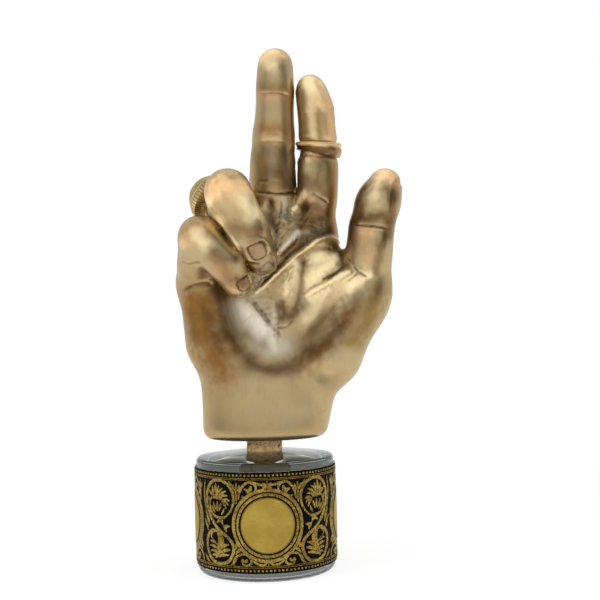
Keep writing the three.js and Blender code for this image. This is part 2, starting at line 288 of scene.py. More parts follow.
def makeCamera():
    turn = (math.pi / 2, math.radians(photoView["roll"]), 0)
    bpy.ops.object.camera_add(location=photoView["place"], rotation=turn)
    camera = bpy.context.object
    camera.data.sensor_width = photoView["sensor"]
    camera.data.lens = photoView["sensor"] * photoView["focal"] / photoView["pixels"]
    camera.data.clip_start = photoView["clip"]
    bpy.context.scene.camera = camera


def toPhoto(points):
    # picture place, in pixels, of points in metres
    away = points - np.array(photoView["place"])
    right = photoView["focal"] * away[:, 0] / away[:, 1]
    down = -photoView["focal"] * away[:, 2] / away[:, 1]
    roll = math.radians(photoView["roll"])
    half = photoView["pixels"] / 2
    across = half + right * math.cos(roll) + down * math.sin(roll)
    return np.stack([across, half - right * math.sin(roll) + down * math.cos(roll)], axis=1)


# Floor, world and lamps
studio = {
    "floorSize": 3.0,
    "floorDrop": 0.1,  # millimetres under the object
    "floorTone": 0.86,
    "floorRough": 0.9,
    "floorGloss": 0.1,
    "shadowReach": (0.10, 0.42),  # metres from the object, where the floor turns plain white
    "shadowShare": 0.16,
    "fill": 0.55,  # light of the room on dull surfaces
    # light of the room in polished surfaces, from behind the object, 0, to the photographer, 1
    "roomLeft": [(0.0, 0.8), (0.5, 0.66), (0.6, 0.42), (0.7, 0.4), (0.85, 0.72), (1.0, 0.8)],
    "roomRight": [(0.0, 0.82), (0.5, 0.66), (0.57, 0.45), (0.65, 0.12), (0.77, 0.12), (0.87, 0.66),
                  (1.0, 0.8)],
    "roomSides": (-0.6, 0.6),  # where the left side turns into the right
    "roomFall": 0.15,  # darker upwards
    "throughGlass": (0.15, 0.95),  # level with the glass, and from above
    "glassRise": (0.15, 0.6),  # from level to above
    "floorThroughGlass": (0.1, 0.16),  # near and farther off
    "behindGlass": 2.2,  # on dull surfaces behind it
    "aim": (0.015, 0, 0.15),
    "lamps": [
        # place, size, power
        ((-0.75, -0.55, 0.55), 0.55, 7.0),
        ((0.80, -0.45, 0.45), 0.50, 5.0),
        ((0.05, -0.10, 0.95), 0.60, 5.0),
    ],
    "rays": ("Is Camera Ray", "Is Glossy Ray", "Is Transmission Ray"),
}


def makeFloor():
    floor = addShape(bpy.ops.mesh.primitive_plane_add, size=studio["floorSize"],
                     location=(0, 0, -studio["floorDrop"] * mm))
    floor.name = "floor"
    material, wire, place = newMaterial("paleFloor")
    plain = place.fromAxis().clamped(*studio["shadowReach"])
    seen, glossy, through = (wire.ray(kind) for kind in studio["rays"])
    share = (1 - studio["shadowShare"]) + studio["shadowShare"] * plain
    near, far = (grey(level) for level in studio["floorThroughGlass"])
    white = through.mix(grey(1), plain.mix(near, far))
    shining = wire.node("ShaderNodeEmission", {0: white, 1: 1.0})
    wire.feed(Base_Color=grey(studio["floorTone"]), Roughness=studio["floorRough"],
              Specular_IOR_Level=studio["floorGloss"])
    dull = Wire(wire.tree, wire.tree.nodes["Principled BSDF"].outputs[0])
    direct = wire.math("MAXIMUM", wire.math("MAXIMUM", seen, glossy), through)
    mixed = wire.node("ShaderNodeMixShader", {0: direct * share, 1: dull, 2: shining})
    wire.put(mixed, wire.tree.nodes["Material Output"].inputs[0])
    floor.data.materials.append(material)


def makeWorld():
    world = bpy.data.worlds.new("studio")
    world.use_nodes = True
    bpy.context.scene.world = world
    wire = Wire(world.node_tree)
    seen, glossy, through = (wire.ray(kind) for kind in studio["rays"])
    heading = wire.node("ShaderNodeTexCoord", out=0)
    right, depth, up = (heading.axis(number) for number in range(3))
    sides = []
    for levels in (studio["roomLeft"], studio["roomRight"]):
        stops = [(place, grey(level)) for place, level in levels]
        sides.append(wire.node("ShaderNodeValToRGB", {0: 0.5 - 0.5 * depth}, {"stops": stops}))
    room = right.clamped(*studio["roomSides"]).mix(*sides)
    room = room.vector("SCALE", {3: 1 - studio["roomFall"] * up})
    level = glossy.mix(grey(studio["fill"]), room)
    low, high = (grey(level) for level in studio["throughGlass"])
    dull = wire.ray("Diffuse Depth").clamped(0.0, 1.0)
    glass = dull.mix(up.clamped(*studio["glassRise"]).mix(low, high), grey(studio["behindGlass"]))
    level = seen.mix(through.mix(level, glass), grey(1))
    background = world.node_tree.nodes["Background"]
    wire.put(level, background.inputs[0])
    background.inputs[1].default_value = 1.0


def makeLamps():
    for place, size, power in studio["lamps"]:
        bpy.ops.object.light_add(type="AREA", location=place)
        lamp = bpy.context.object
        lamp.data.shape = "DISK"
        lamp.data.size = size
        lamp.data.energy = power
        lamp.visible_glossy = False  # the room alone shows in the metal and the glass
        lamp.visible_transmission = False
        aim = Vector(studio["aim"]) - Vector(place)
        lamp.rotation_euler = aim.to_track_quat("-Z", "Y").to_euler()


makeCamera()
makeFloor()
makeWorld()
makeLamps()
bpy.context.scene.view_settings.view_transform = "Standard"
print("stage ready")

# Flesh of the hand, in millimetres over the wrist's cut: the same bones and pads as the casting
flesh = {
    "bones": {
        "middle": [(6.4, 0, 106, 12.4), (9, -3, 155.5, 10.6), (10.4, -5, 177.5, 9.2),
                   (10.5, -5, 192, 9)],
        "index": [(28.6, 0, 104, 10.6), (31.4, -3, 148.3, 10.2), (30.8, -5, 167.7, 8.9),
                  (28.3, -6, 179, 7.9)],
        "ring": [(-14.3, 0, 103, 11.8), (-13.9, -38, 124.5, 10.9), (-4.6, -33, 105, 9.6),
                 (1.8, -23.5, 91.2, 8.4)],
        "little": [(-33, -5, 82.6, 10.4), (-28.5, -29, 103.2, 10.4), (-15.8, -30, 90.2, 9),
                   (-10.2, -24, 79, 7.2)],
        "thumb": [(53.9, -8, 74, 12), (57.8, -11, 106.7, 11), (61, -12, 118.5, 10.6),
                  (65.2, -11, 128.8, 8.4)],
    },
    # finger, bone, share along it, bulge to the palm side, radius
    "pads": [
        ("middle", 0, 0.6, 2.6, 11.4), ("middle", 1, 0.5, 2.2, 8.6), ("middle", 2, 0.35, 2, 8.8),
        ("index", 0, 0.6, 2.6, 10.5), ("index", 1, 0.5, 2, 8.1), ("index", 2, 0.4, 2, 8),
        ("thumb", 0, 0.55, 2.5, 11), ("thumb", 2, 0.1, 3, 10.6),
    ],
    "padShare": 0.32,
    "palm": [
        ((12, 2, 22, 15), (27.6, 1, 101, 11)),
        ((4, 3, 22, 15), (6, 2, 106, 12.4)),
        ((-4, 3, 22, 15), (-14, 2, 101, 12)),
        ((-10, 2, 26, 15), (-26.5, 0, 78, 11.2)),
        ((35, -7, 44, 17.4), (49.2, -9, 67, 13)),
        ((49.2, -9, 67, 13), (53.2, -9, 76, 12)),
        ((-24.4, -5, 50, 14.8), (-27.8, -5, 70, 12.6)),
        ((-14, -5, 97, 9), (26, -5, 102, 9)),
        ((26, -1, 85, 9), (48, -5, 85, 8)),
        ((22, 1, 60, 10), (38, -2, 78, 9)),
    ],
    "rootShare": {"middle": 0.42, "index": 0.42, "ring": 0.34, "little": 0.3, "thumb": 0.5},
    "rootInset": 0.5,
    "fingerStart": 0.3,
    "palmBlend": 9,
    "jointBlend": 3,
    "wristWidth": (31.7, 34.8),  # at the cut and at the wrist's top
    "wristDepth": (22, 17.5),
    "wristShift": (0.4, 3.4),
    "wristTop": 26,
    "wristRunOut": 8,
    "wristRound": 4,
    "wristInset": 1.6,
    "wristFoot": 10,
}


def softMin(first, second, softness):
    overlap = np.maximum(softness - np.abs(first - second), 0) / softness
    return np.minimum(first, second) - overlap * overlap * softness / 4


def capsule(points, ends):
    start = np.array(ends[0][:3], float)
    axis = np.array(ends[1][:3], float) - start
    share = np.clip((points - start) @ axis / (axis @ axis), 0, 1)
    radius = ends[0][3] + (ends[1][3] - ends[0][3]) * share
    return np.linalg.norm(points - start - share[:, None] * axis, axis=1) - radius


def alongBone(finger, bone, share):
    start, end = flesh["bones"][finger][bone:bone + 2]
    return tuple(a + (b - a) * share for a, b in zip(start, end))


def wristSection(height):
    share = np.clip(height / flesh["wristTop"], 0, 1)
    return [low + (high - low) * share for low, high in
            (flesh["wristWidth"], flesh["wristDepth"], flesh["wristShift"])]


def wristDistance(points):
    width, depth, shift = wristSection(points[:, 2])
    lower = flesh["wristFoot"] - flesh["wristInset"]
    inset = flesh["wristInset"] * np.clip(1 - points[:, 2] / lower, 0, 1)
    reach = np.hypot((points[:, 0] - shift) / (width - inset), points[:, 1] / (depth - inset))
    top = flesh["wristTop"] + flesh["wristRunOut"]
    return -softMin((1 - reach) * depth, top - points[:, 2], flesh["wristRound"])


def palmDistance(points):
    distance = wristDistance(points)
    forms = list(flesh["palm"])
    for finger, share in flesh["rootShare"].items():
        ends = [flesh["bones"][finger][0], alongBone(finger, 0, share)]
        forms.append([(x, y, z, radius - flesh["rootInset"]) for x, y, z, radius in ends])
    for ends in forms:
        distance = softMin(distance, capsule(points, ends), flesh["palmBlend"])
    return -softMin(-distance, points[:, 2] - flesh["wristInset"], flesh["wristRound"])


def fingerDistance(points, finger):
    chain = [alongBone(finger, 0, flesh["fingerStart"]), *flesh["bones"][finger][1:]]
    forms = list(zip(chain[:-1], chain[1:]))
    half = flesh["padShare"] / 2
    for owner, bone, share, bulge, radius in flesh["pads"]:
        if owner == finger:
            ends = [alongBone(finger, bone, share + shift) for shift in (-half, half)]
            forms.append([(x, y - bulge, z, radius) for x, y, z, _ in ends])
    distance = capsule(points, forms[0])
    for ends in forms[1:]:
        distance = softMin(distance, capsule(points, ends), flesh["jointBlend"])
    return distance


def fleshDistance(points):
    fingers = [fingerDistance(points, finger) for finger in flesh["bones"]]
    return np.minimum.reduce([palmDistance(points), *fingers])


# Skin of the hand as arrays that the carving works on, in millimetres over the wrist's cut
class Skin:
    def __init__(self, thing, origin):
        self.thing = thing
        self.origin = np.array(origin)
        self.count = len(thing.data.vertices)
        edges = np.empty(len(thing.data.edges) * 2, np.int64)
        thing.data.edges.foreach_get("vertices", edges)
        self.ends = edges.reshape(-1, 2)
        self.degree = np.bincount(edges, minlength=self.count)[:, None]
        self.points = (readVectors(thing.data.vertices, "co") - self.origin) / mm
        self.refresh()

    def world(self):
        return self.points * mm + self.origin

    def refresh(self):
        self.thing.data.vertices.foreach_set("co", self.world().ravel())
        self.thing.data.update()
        self.normals = normalsOf(self.thing)

    def around(self, values):
        # mean over each point's neighbours
        first, second = self.ends.T
        total = np.stack([
            np.bincount(first, column[second], self.count) + np.bincount(second, column[first], self.count)
            for column in values.reshape(self.count, -1).T
        ], axis=1)
        return (total / self.degree).reshape(values.shape)

    def hollow(self):
        # how far each point lies under its neighbours
        return ((self.around(self.points) - self.points) * self.normals).sum(1)

    def relax(self, passes, weight=1.0):
        share = np.broadcast_to(weight, self.count)[:, None] * 0.5
        for _ in range(passes):
            self.points += (self.around(self.points) - self.points) * share
        self.refresh()

    def push(self, height):
        self.points += self.normals * height[:, None]
        self.refresh()

    def blurred(self, values, passes):
        for _ in range(passes):
            values = (values + self.around(values)) / 2
        return values

    def seen(self):
        # 1 on the skin that the photographer sees, towards 0 where it turns away
        world = self.world()
        eye = np.array(photoView["place"])
        ray = world - eye
        reach = np.linalg.norm(ray, axis=1)
        ray /= reach[:, None]
        facing = -(ray * self.normals).sum(1)
        tree = BVHTree.FromPolygons(world.tolist(), [face.vertices[:] for face in self.thing.data.polygons])
        least, full = handSkin["facing"]
        clear = np.zeros(self.count)
        for i in np.flatnonzero(facing > least):
            hit = tree.ray_cast(eye, ray[i], reach[i] - handSkin["sightGap"] * mm)
            clear[i] = hit[0] is None
        return clear * smoothStep(least, full, facing)


handSkin = {
    "voxel": 0.6,  # millimetres
    "quickVoxel": 1.0,
    "slit": (20.2, 120, 136, 1.4),  # middle to index finger: place across, two heights, spread
    "slitFoot": 128,
    "slitCut": (0.5, 60.0, 75.0),  # width, depth and height of the cut
    "slitGuard": (0.7, 12),  # across and up, where the cut is left as it is
    "slitOpen": (0.45, 4.0),  # drawn back on each side, and how far from the slit
    "nearSkin": 0.7,  # points this close to the flesh's surface are drawn onto it
    "drawRounds": 3,
    "facing": (0.02, 0.35),  # of the skin to the photographer: just seen, fully seen
    "sightGap": 0.8,
    "cleft": (0.06, 0.16),  # hollows that are clefts
    "cleftShare": (0.05, 0.4),  # of them, where the skin isn't evened
    "cleftPasses": 2,
    "relaxPasses": 2,
    "evenRounds": 10,
    "evenPasses": 6,
    "swell": 0.035,  # millimetres that each round of evening gives back
    "wristFloor": 0.2,
    "wristNear": 0.06,  # of its radius, points this close are drawn onto the oval
    "sightPasses": 4,
    "triangles": 190000,
}


def spreadFingers(skin, way):
    # the middle and index fingers go apart for the remesh, which would close the slit between them
    across, low, high, spread = handSkin["slit"]
    shift = spread * smoothStep(low, high, skin.points[:, 2])
    skin.points[:, 0] += way * shift * np.sign(skin.points[:, 0] - across)
    skin.refresh()


def openSlit(skin):
    _, low, high, _ = handSkin["slit"]
    draw, reach = handSkin["slitOpen"]
    middle, index = (np.abs(fingerDistance(skin.points, finger)) for finger in ("middle", "index"))
    share = smoothStep(low, high, skin.points[:, 2]) * bell(middle + index, reach)
    skin.points[:, 0] -= draw * share * np.clip(2 * skin.normals[:, 0], -1, 1)
    skin.refresh()


def cutSlit(thing, origin):
    width, deep, tall = handSkin["slitCut"]
    place = (handSkin["slit"][0] * mm, 0, origin[2] + (handSkin["slitFoot"] + tall / 2) * mm)
    blade = addShape(bpy.ops.mesh.primitive_cube_add, size=1, location=place,
                     scale=(width * mm, deep * mm, tall * mm))
    applyModifier(thing, "BOOLEAN", operation="DIFFERENCE", object=blade, solver="EXACT")
    bpy.data.objects.remove(blade)


def drawOntoFlesh(skin):
    across, foot = handSkin["slit"][0], handSkin["slitFoot"]
    guard, tall = handSkin["slitGuard"]
    for _ in range(handSkin["drawRounds"]):
        distance = fleshDistance(skin.points)
        x, _, z = skin.points.T
        near = (np.abs(distance) < handSkin["nearSkin"]) & (z > flesh["wristFoot"])
        near &= (np.abs(x - across) > guard) | (z < foot) | (z > foot + tall)
        skin.push(np.where(near, -distance, 0))


def roundWrist(skin):
    # the foot of the wrist on its true oval, with the rounded lower edge
    x, y, z = skin.points.T
    width, depth, shift = wristSection(z)
    rest = np.clip(flesh["wristRound"] - z, 0, flesh["wristRound"])
    drawn = flesh["wristRound"] - np.sqrt(flesh["wristRound"] ** 2 - rest ** 2)
    target = 1 - drawn / flesh["wristWidth"][0]
    reach = np.hypot((x - shift) / width, y / depth)
    near = (z < flesh["wristFoot"]) & (z > handSkin["wristFloor"])
    near &= np.abs(reach - target) < handSkin["wristNear"]
    scale = np.where(near, target / reach, 1)
    skin.points[:, 0] = shift + (x - shift) * scale
    skin.points[:, 1] = y * scale
    skin.refresh()


def soften(skin):
    # even out the swellings of the flesh, but keep the clefts between the fingers
    cleft = skin.blurred(smoothStep(*handSkin["cleft"], skin.hollow()), handSkin["cleftPasses"])
    free = 1 - smoothStep(*handSkin["cleftShare"], cleft)
    for _ in range(handSkin["evenRounds"]):
        skin.relax(handSkin["evenPasses"], free)
        skin.points += skin.normals * (handSkin["swell"] * free)[:, None]
    skin.refresh()
    skin.relax(handSkin["relaxPasses"])


def makeHandSkin():
    thing = copyOfNode("hand_casting")
    origin = (0, 0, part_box("hand_casting")[0].z)
    cutSlit(thing, origin)
    spreadFingers(Skin(thing, origin), 1)
    voxel = handSkin["voxel"] * mm
    applyModifier(thing, "REMESH", mode="VOXEL", voxel_size=voxel)
    skin = Skin(thing, origin)
    spreadFingers(skin, -1)
    drawOntoFlesh(skin)
    roundWrist(skin)
    soften(skin)
    openSlit(skin)
    print("hand skin", skin.count, "points")
    return skin


# Lines and folds of the palm side, each along a path of picture places: kind, width and height in
# millimetres, path in pixels. A crease has raised lips, an edge is higher on the left of its path,
# a swell has round ends, a groove has no lips.
palmLines = {
    "middleTipCrease": ("groove", 0.5, -0.4, [(257, 93.6), (270, 93), (283, 93.6), (291, 97.6)]),
    "middleJointUpper": ("groove", 0.45, -0.26, [(262, 133.8), (271, 133.4), (281, 133)]),
    "middleJointLower": ("groove", 0.5, -0.3, [(257, 142.6), (270, 140.8), (286, 141.6)]),
    "middleRootUpper": ("crease", 0.55, -0.2, [(258, 182.2), (270, 181.6), (282, 181.8)]),
    "middleRoot": ("groove", 0.6, -0.75, [(255, 191.6), (265, 193.4), (278, 193.8), (299, 192)]),
    "middleRootLip": ("ridge", 0.9, 0.4, [(281, 196.4), (290, 196.2), (300, 195.4)]),
    "indexRoot": ("groove", 0.55, -0.6, [(310, 192), (315, 195), (322, 198.4), (329, 203)]),
    "indexTipCrease": ("crease", 0.6, -0.14, [(302, 113), (312, 112.6), (326, 112)]),
    "indexUnderRing": ("crease", 0.6, -0.2, [(303, 154.6), (308, 155), (313, 154)]),
    "thumbJoint": ("crease", 0.65, -0.6, [(350, 224.6), (362, 225.2), (374, 226), (389, 228.4)]),
    "thumbJointLower": ("groove", 0.5, -0.26, [(356, 229.4), (370, 229.6), (388, 231.4)]),
    "thumbPadBorder": ("crease", 1.2, -0.45, [(397, 178), (392.5, 186), (391, 204), (390, 220)]),
    "thumbSideBorder": ("edge", 1.1, 0.6, [(388, 231), (381, 243), (378, 258), (376, 273)]),
    "littleRootUpper": ("crease", 0.8, -0.5, [(180, 260), (188, 264.4), (202, 262.8)]),
    "littleRootLower": ("crease", 0.7, -0.6, [(181, 290.4), (192.6, 286), (214, 283.6)]),
    "webRidge": ("ridge", 1.25, 1.7, [(257.4, 293), (270, 280.4), (281.5, 269), (290.9, 259.7),
                                      (300.3, 252.3), (310.3, 244.9), (319, 239), (326.4, 237.2),
                                      (333, 238.9), (338.5, 243.6), (344, 251)]),
    "webHollow": ("swell", 3.2, -1.2, [(278, 264), (288, 255), (298, 246.6), (308, 239), (318, 232)]),
    "webUnder": ("swell", 2.2, -0.9, [(301, 261), (311, 252.4), (321, 247), (333, 248)]),
    "webSecond": ("ridge", 0.8, 0.5, [(311, 247), (319, 245.4), (328, 245.6), (334, 249)]),
    "webPit": ("swell", 1.8, -0.9, [(337, 248), (340, 255), (341.6, 263)]),
    "thenarSwell": ("swell", 7.0, 1.8, [(319, 268), (330, 264)]),
    "palmKeel": ("edge", 1.0, -1.0, [(300, 255), (298, 271.7), (297, 281.8), (295, 293), (291, 308)]),
    "thenarFold": ("ridge", 1.1, 1.1, [(347, 270), (338, 276), (330.4, 281), (314, 290), (302, 297)]),
    "thenarSlit": ("groove", 0.9, -0.7, [(345, 264), (338, 271), (329, 276.4), (320, 280)]),
    "starLong": ("crease", 0.6, -0.5, [(346, 256), (352, 263), (358, 271), (369, 278)]),
    "starShort": ("crease", 0.6, -0.35, [(358, 271), (353, 277), (346, 282)]),
    "starRise": ("ridge", 1.1, 0.6, [(349, 262), (356, 266), (362, 271)]),
    "palmV": ("edge", 0.8, -0.8, [(247, 295), (257.3, 308.6), (269.3, 324), (278, 333)]),
    "silverNick": ("groove", 0.5, -0.2, [(243, 322), (248, 318), (254, 312)]),
    "centreKeel": ("edge", 0.9, -0.8, [(278.4, 297), (277, 312), (275.8, 327), (275.4, 350)]),
    "centreHollow": ("swell", 3.6, -1.2, [(283, 304), (291, 311), (300, 306)]),
    "palmNick": ("groove", 0.5, -0.4, [(276, 327.8), (283, 327), (288, 324.6), (293, 319)]),
    "creamTendon": ("ridge", 1.5, 0.9, [(305, 190), (301.5, 198), (297.5, 205), (292, 211)]),
    "greyTendon": ("swell", 2.6, 0.5, [(288, 200), (287, 208), (284, 216)]),
    "underMiddle": ("groove", 0.6, -0.5, [(280.6, 198), (282, 207), (280.4, 216), (277.6, 226), (275, 238)]),
    "browPit": ("swell", 2.6, -0.8, [(269, 203), (271, 213), (274, 223)]),
    "slantUpper": ("ridge", 0.8, 0.35, [(296, 219), (290, 226), (283, 233)]),
    "slantLower": ("ridge", 2.2, 1.0, [(302, 226), (294, 235), (287, 243), (277, 255)]),
    "slantCrease": ("groove", 0.6, -0.35, [(293, 224), (286, 232), (279, 242)]),
    "slantDark": ("swell", 2.3, -1.1, [(303, 236), (298, 243), (292, 250), (285, 258)]),
    "indexFanA": ("ridge", 0.7, 0.3, [(312, 206), (306, 215), (299, 224)]),
    "indexFanB": ("ridge", 0.7, 0.35, [(318, 205), (312, 214), (306, 225)]),
    "crumpleA": ("groove", 0.6, -0.3, [(262, 284), (268, 290), (272, 300)]),
    "crumpleB": ("ridge", 0.9, 0.4, [(283, 279), (285, 291), (282, 302)]),
    "crumpleC": ("crease", 0.6, -0.3, [(262, 272), (267, 265), (275, 262)]),
    "ringToLittle": ("ridge", 0.7, 0.4, [(214, 216), (224, 228), (233, 240), (240, 250)]),
    "ringRidge": ("swell", 5.4, 1.3, [(254, 197), (258, 212), (264, 228)]),
    "ringSlope": ("swell", 3.6, -0.8, [(217, 204), (226, 218), (235, 232)]),
    "ringCuticle": ("ridge", 0.9, 0.5, [(243, 242), (253.4, 237.6), (262, 239), (269, 245), (272.8, 252)]),
    "ringTipFold": ("crease", 0.6, -0.4, [(249, 264), (254, 265.4), (260, 265)]),
    "littleNick": ("crease", 0.6, -0.35, [(231, 285), (233.4, 288.4), (235, 290)]),
}
lineShape = {
    "lip": (2.3, 1.2, 0.28),  # place and width, of the line's width, and height, of its depth
    "edgeReach": 5,  # of the line's width
    "fade": 0.15,  # of the path, at each end
    "edgeFade": 0.3,
    "cutNarrow": 1.4,  # a painted crease is narrower than the carved one
}


def smoothPath(path, steps=6):
    # a rounded path through a few places
    places = np.array([path[0], *path, path[-1]], float)
    if len(path) < 3:
        return np.array(path, float)
    share = np.linspace(0, 1, steps, endpoint=False)[:, None]
    runs = []
    for a, b, c, d in zip(places, places[1:], places[2:], places[3:]):
        runs.append(0.5 * (2 * b + (c - a) * share + (2 * a - 5 * b + 4 * c - d) * share ** 2
                           + (3 * b - a - 3 * c + d) * share ** 3))
    return np.vstack([*runs, places[-1:]])


def measurePath(places, path):
    # distance from each place to a path, its side (left is positive) and the share along the path
    corners = smoothPath(path)
    steps = np.linalg.norm(np.diff(corners, axis=0), axis=1)
    walked = np.concatenate([[0], np.cumsum(steps)])
    distance = np.full(len(places), np.inf)
    side = np.zeros(len(places))
    share = np.zeros(len(places))
    for i, step in enumerate(steps):
        run = (corners[i + 1] - corners[i]) / step
        offset = places - corners[i]
        reach = np.clip(offset @ run, 0, step)
        gap = np.linalg.norm(offset - reach[:, None] * run, axis=1)
        closer = gap < distance
        distance = np.where(closer, gap, distance)
        side = np.where(closer, np.sign(run[1] * offset[:, 0] - run[0] * offset[:, 1]), side)
        share = np.where(closer, (walked[i] + reach) / walked[-1], share)
    return distance, side, share


def lineHeight(kind, width, height, gap, side):
    core = bell(gap, width)
    if kind == "crease":
        place, spread, rise = lineShape["lip"]
        return height * (core - rise * bell(gap - place * width, spread * width))
    if kind == "edge":
        return height * side * (1 - core) * bell(gap, lineShape["edgeReach"] * width)
    return height * core


def carveLines(skin, mask, places, scale):
    depth = np.zeros(skin.count)
    cut = np.zeros(skin.count)
    for kind, width, height, path in palmLines.values():
        gap, side, share = measurePath(places, path)
        gap = gap * scale
        run = lineShape["edgeFade" if kind == "edge" else "fade"]
        fade = 1 if kind == "swell" else smoothStep(0, run, share) * smoothStep(0, run, 1 - share)
        depth += lineHeight(kind, width, height, gap, side) * fade * mask
        if kind in ("crease", "groove"):
            cut = np.maximum(cut, -height * bell(lineShape["cutNarrow"] * gap, width) * fade * mask)
    skin.push(depth)
    return cut


# Crumpled skin between the lines: height in millimetres, width and path in picture places
crumples = {
    "waves": 48,
    "length": (1.8, 5.0),
    "level": 0.6,
    "range": (-0.8, 0.6),
    "clearance": (0.3, 1.5),  # from the fingers, where it starts and is full
    "places": [
        (0.24, 11, [(284, 200), (280, 220), (276, 240), (266, 270), (260, 290)]),
        (0.22, 12, [(306, 206), (318, 214), (310, 230), (298, 240)]),
        (0.20, 9, [(258, 300), (268, 314), (276, 330)]),
        (0.16, 8, [(290, 268), (287, 284), (284, 304)]),
        (0.10, 12, [(312, 262), (326, 260), (322, 286), (346, 276)]),
    ],
}


def waveField(points, count, lengths):
    # smooth random values about 0, mostly between -2 and 2
    field = np.zeros(len(points))
    for _ in range(count):
        heading = dice.normal(size=3)
        heading *= 2 * math.pi / (dice.uniform(*lengths) * np.linalg.norm(heading))
        field += np.sin(points @ heading + dice.uniform(0, 2 * math.pi))
    return field / math.sqrt(count / 2)


def crumpleSkin(skin, mask, places):
    field = waveField(skin.points, crumples["waves"], crumples["length"])
    ridged = np.clip(crumples["level"] - np.abs(field), *crumples["range"])
    height = np.zeros(skin.count)
    for rise, width, path in crumples["places"]:
        gap, _, _ = measurePath(places, path)
        height = np.maximum(height, rise * bell(gap, width))
    for finger in ("ring", "little", "middle", "index"):
        height *= smoothStep(*crumples["clearance"], fingerDistance(skin.points, finger))
    skin.push(height * ridged * mask)


# Nails: finger, turn of the nail about its bone in degrees, half width, length and how far the free
# edge lies beyond the centre of the tip, in millimetres
nails = {
    "plates": [
        ("middle", 0, 6.2, 12.5, 3.0), ("index", 0, 5.8, 11.5, 2.7), ("ring", -1, 4.4, 9.8, -5.6),
        ("little", -27, 3.8, 7.2, 2.0), ("thumb", 0, 7.0, 13.5, 2.8),
    ],
    "backs": {"middle": (0, 1, 0), "index": (0, 1, 0), "thumb": (0.55, 0.8, 0), "ring": (0, -1, 0),
              "little": (0, -1, 0)},
    "fingerReach": 1.5,  # points farther off aren't the finger's own
    "area": (0.15, 3),  # height and distance from the tip, of the finger's radius
    "squareness": 3.4,
    "groove": (0.75, 0.5),  # depth and width
    "fold": (0.45, 1.3, 0.8),  # height, place outside the plate and width
    "rise": (0.25, 0.3, -0.8),  # height, from and to
    "freeEdge": (-1.5, 0.5),  # about the reach, where the plate gets free
    "under": (0.5, 0.8),  # depth and run of the step under the free edge
    "painted": (0.1, -0.5),
}


def overJoint(skin, finger, joint, turn, area):
    # places across and along the back of a joint, which of them are its own, and the finger's radius
    start, end = [np.array(place[:3]) for place in flesh["bones"][finger][joint - 1:joint + 1]]
    axis = (end - start) / np.linalg.norm(end - start)
    outward = np.array(nails["backs"][finger], float)
    outward -= axis * (outward @ axis)
    outward /= np.linalg.norm(outward)
    across = np.cross(axis, outward)
    angle = math.radians(turn)
    outward, across = (outward * math.cos(angle) + across * math.sin(angle),
                       across * math.cos(angle) - outward * math.sin(angle))
    radius = flesh["bones"][finger][joint][3]
    offset = skin.points - end
    low, reach = area
    near = (offset @ outward > low * radius) & (np.linalg.norm(offset, axis=1) < reach * radius)
    near &= fingerDistance(skin.points, finger) < nails["fingerReach"]
    return offset @ across, offset @ axis, near, radius


def carveNails(skin):
    plate = np.zeros(skin.count)
    height = np.zeros(skin.count)
    for finger, turn, half, length, reach in nails["plates"]:
        u, v, near, _ = overJoint(skin, finger, 3, turn, nails["area"])
        power = nails["squareness"]
        centre = reach - length / 2
        ring = (np.abs(u / half) ** power + np.abs((v - centre) / (length / 2)) ** power) ** (1 / power)
        gap = (ring - 1) * half
        early, late = nails["freeEdge"]
        free = smoothStep(reach + early, reach + late, v)
        depth, width = nails["groove"]
        groove = -depth * bell(gap, width)
        top, place, width = nails["fold"]
        fold = top * bell(gap - place, width) * (1 - free)
        top, outer, inner = nails["rise"]
        rise = top * smoothStep(outer, inner, gap)
        depth, run = nails["under"]
        under = -depth * free * smoothStep(0.0, run, gap)
        height += np.where(near, groove + fold + rise + under, 0)
        plate = np.maximum(plate, np.where(near, smoothStep(*nails["painted"], gap), 0))
    skin.push(height)
    return plate, np.clip(-height, 0, 1)


# Back of the hand: knuckles, tendons and the folds over the joints, in millimetres
backForms = {
    "behind": (0.15, 0.6),  # of the skin's turn to the back, where they start and are full
    "knuckle": (1.4, 8.0),  # height and spread
    "tendon": (0.75, 2.2),
    "tendonTop": 3,  # under the knuckle
    "tendonFoot": (4.0, 24.0),  # across and up, where the tendons gather
    "tendonFade": (0.12, 0.4),  # of the tendon's run, at its top and foot
    "folds": [("middle", 1), ("middle", 2), ("index", 2), ("thumb", 1)],
    "foldPlaces": (-3.6, -1.3, 1.0, 3.1),
    "fold": (0.4, 0.55),  # depth and width
    "foldArea": (0.25, 2),  # height and distance from the joint, of the finger's radius
    "foldSpread": 0.6,
    "foldBow": 0.03,
}


def carveBack(skin):
    behind = smoothStep(*backForms["behind"], skin.normals[:, 1])
    flat = skin.points[:, [0, 2]]
    height = np.zeros(skin.count)
    foot = backForms["tendonFoot"]
    for finger in ("index", "middle", "ring", "little"):
        x, _, z, _ = flesh["bones"][finger][0]
        rise, spread = backForms["knuckle"]
        height += rise * np.exp(-((flat - (x, z)) ** 2).sum(1) / spread ** 2) * behind
        rise, width = backForms["tendon"]
        path = [(x, z - backForms["tendonTop"]), ((x + foot[0]) / 2, (z + foot[1]) / 2), foot]
        gap, _, share = measurePath(flat, path)
        early, late = backForms["tendonFade"]
        run = smoothStep(0, early, share) * smoothStep(0, late, 1 - share)
        height += rise * bell(gap, width) * run * behind
    depth, width = backForms["fold"]
    for finger, joint in backForms["folds"]:
        u, v, near, radius = overJoint(skin, finger, joint, 0, backForms["foldArea"])
        spread = bell(u, backForms["foldSpread"] * radius) * near
        for place in backForms["foldPlaces"]:
            bow = v - place + backForms["foldBow"] * place * u ** 2 / radius
            height -= depth * bell(bow, width) * spread
    skin.push(height)
    return np.clip(-height, 0, 1)


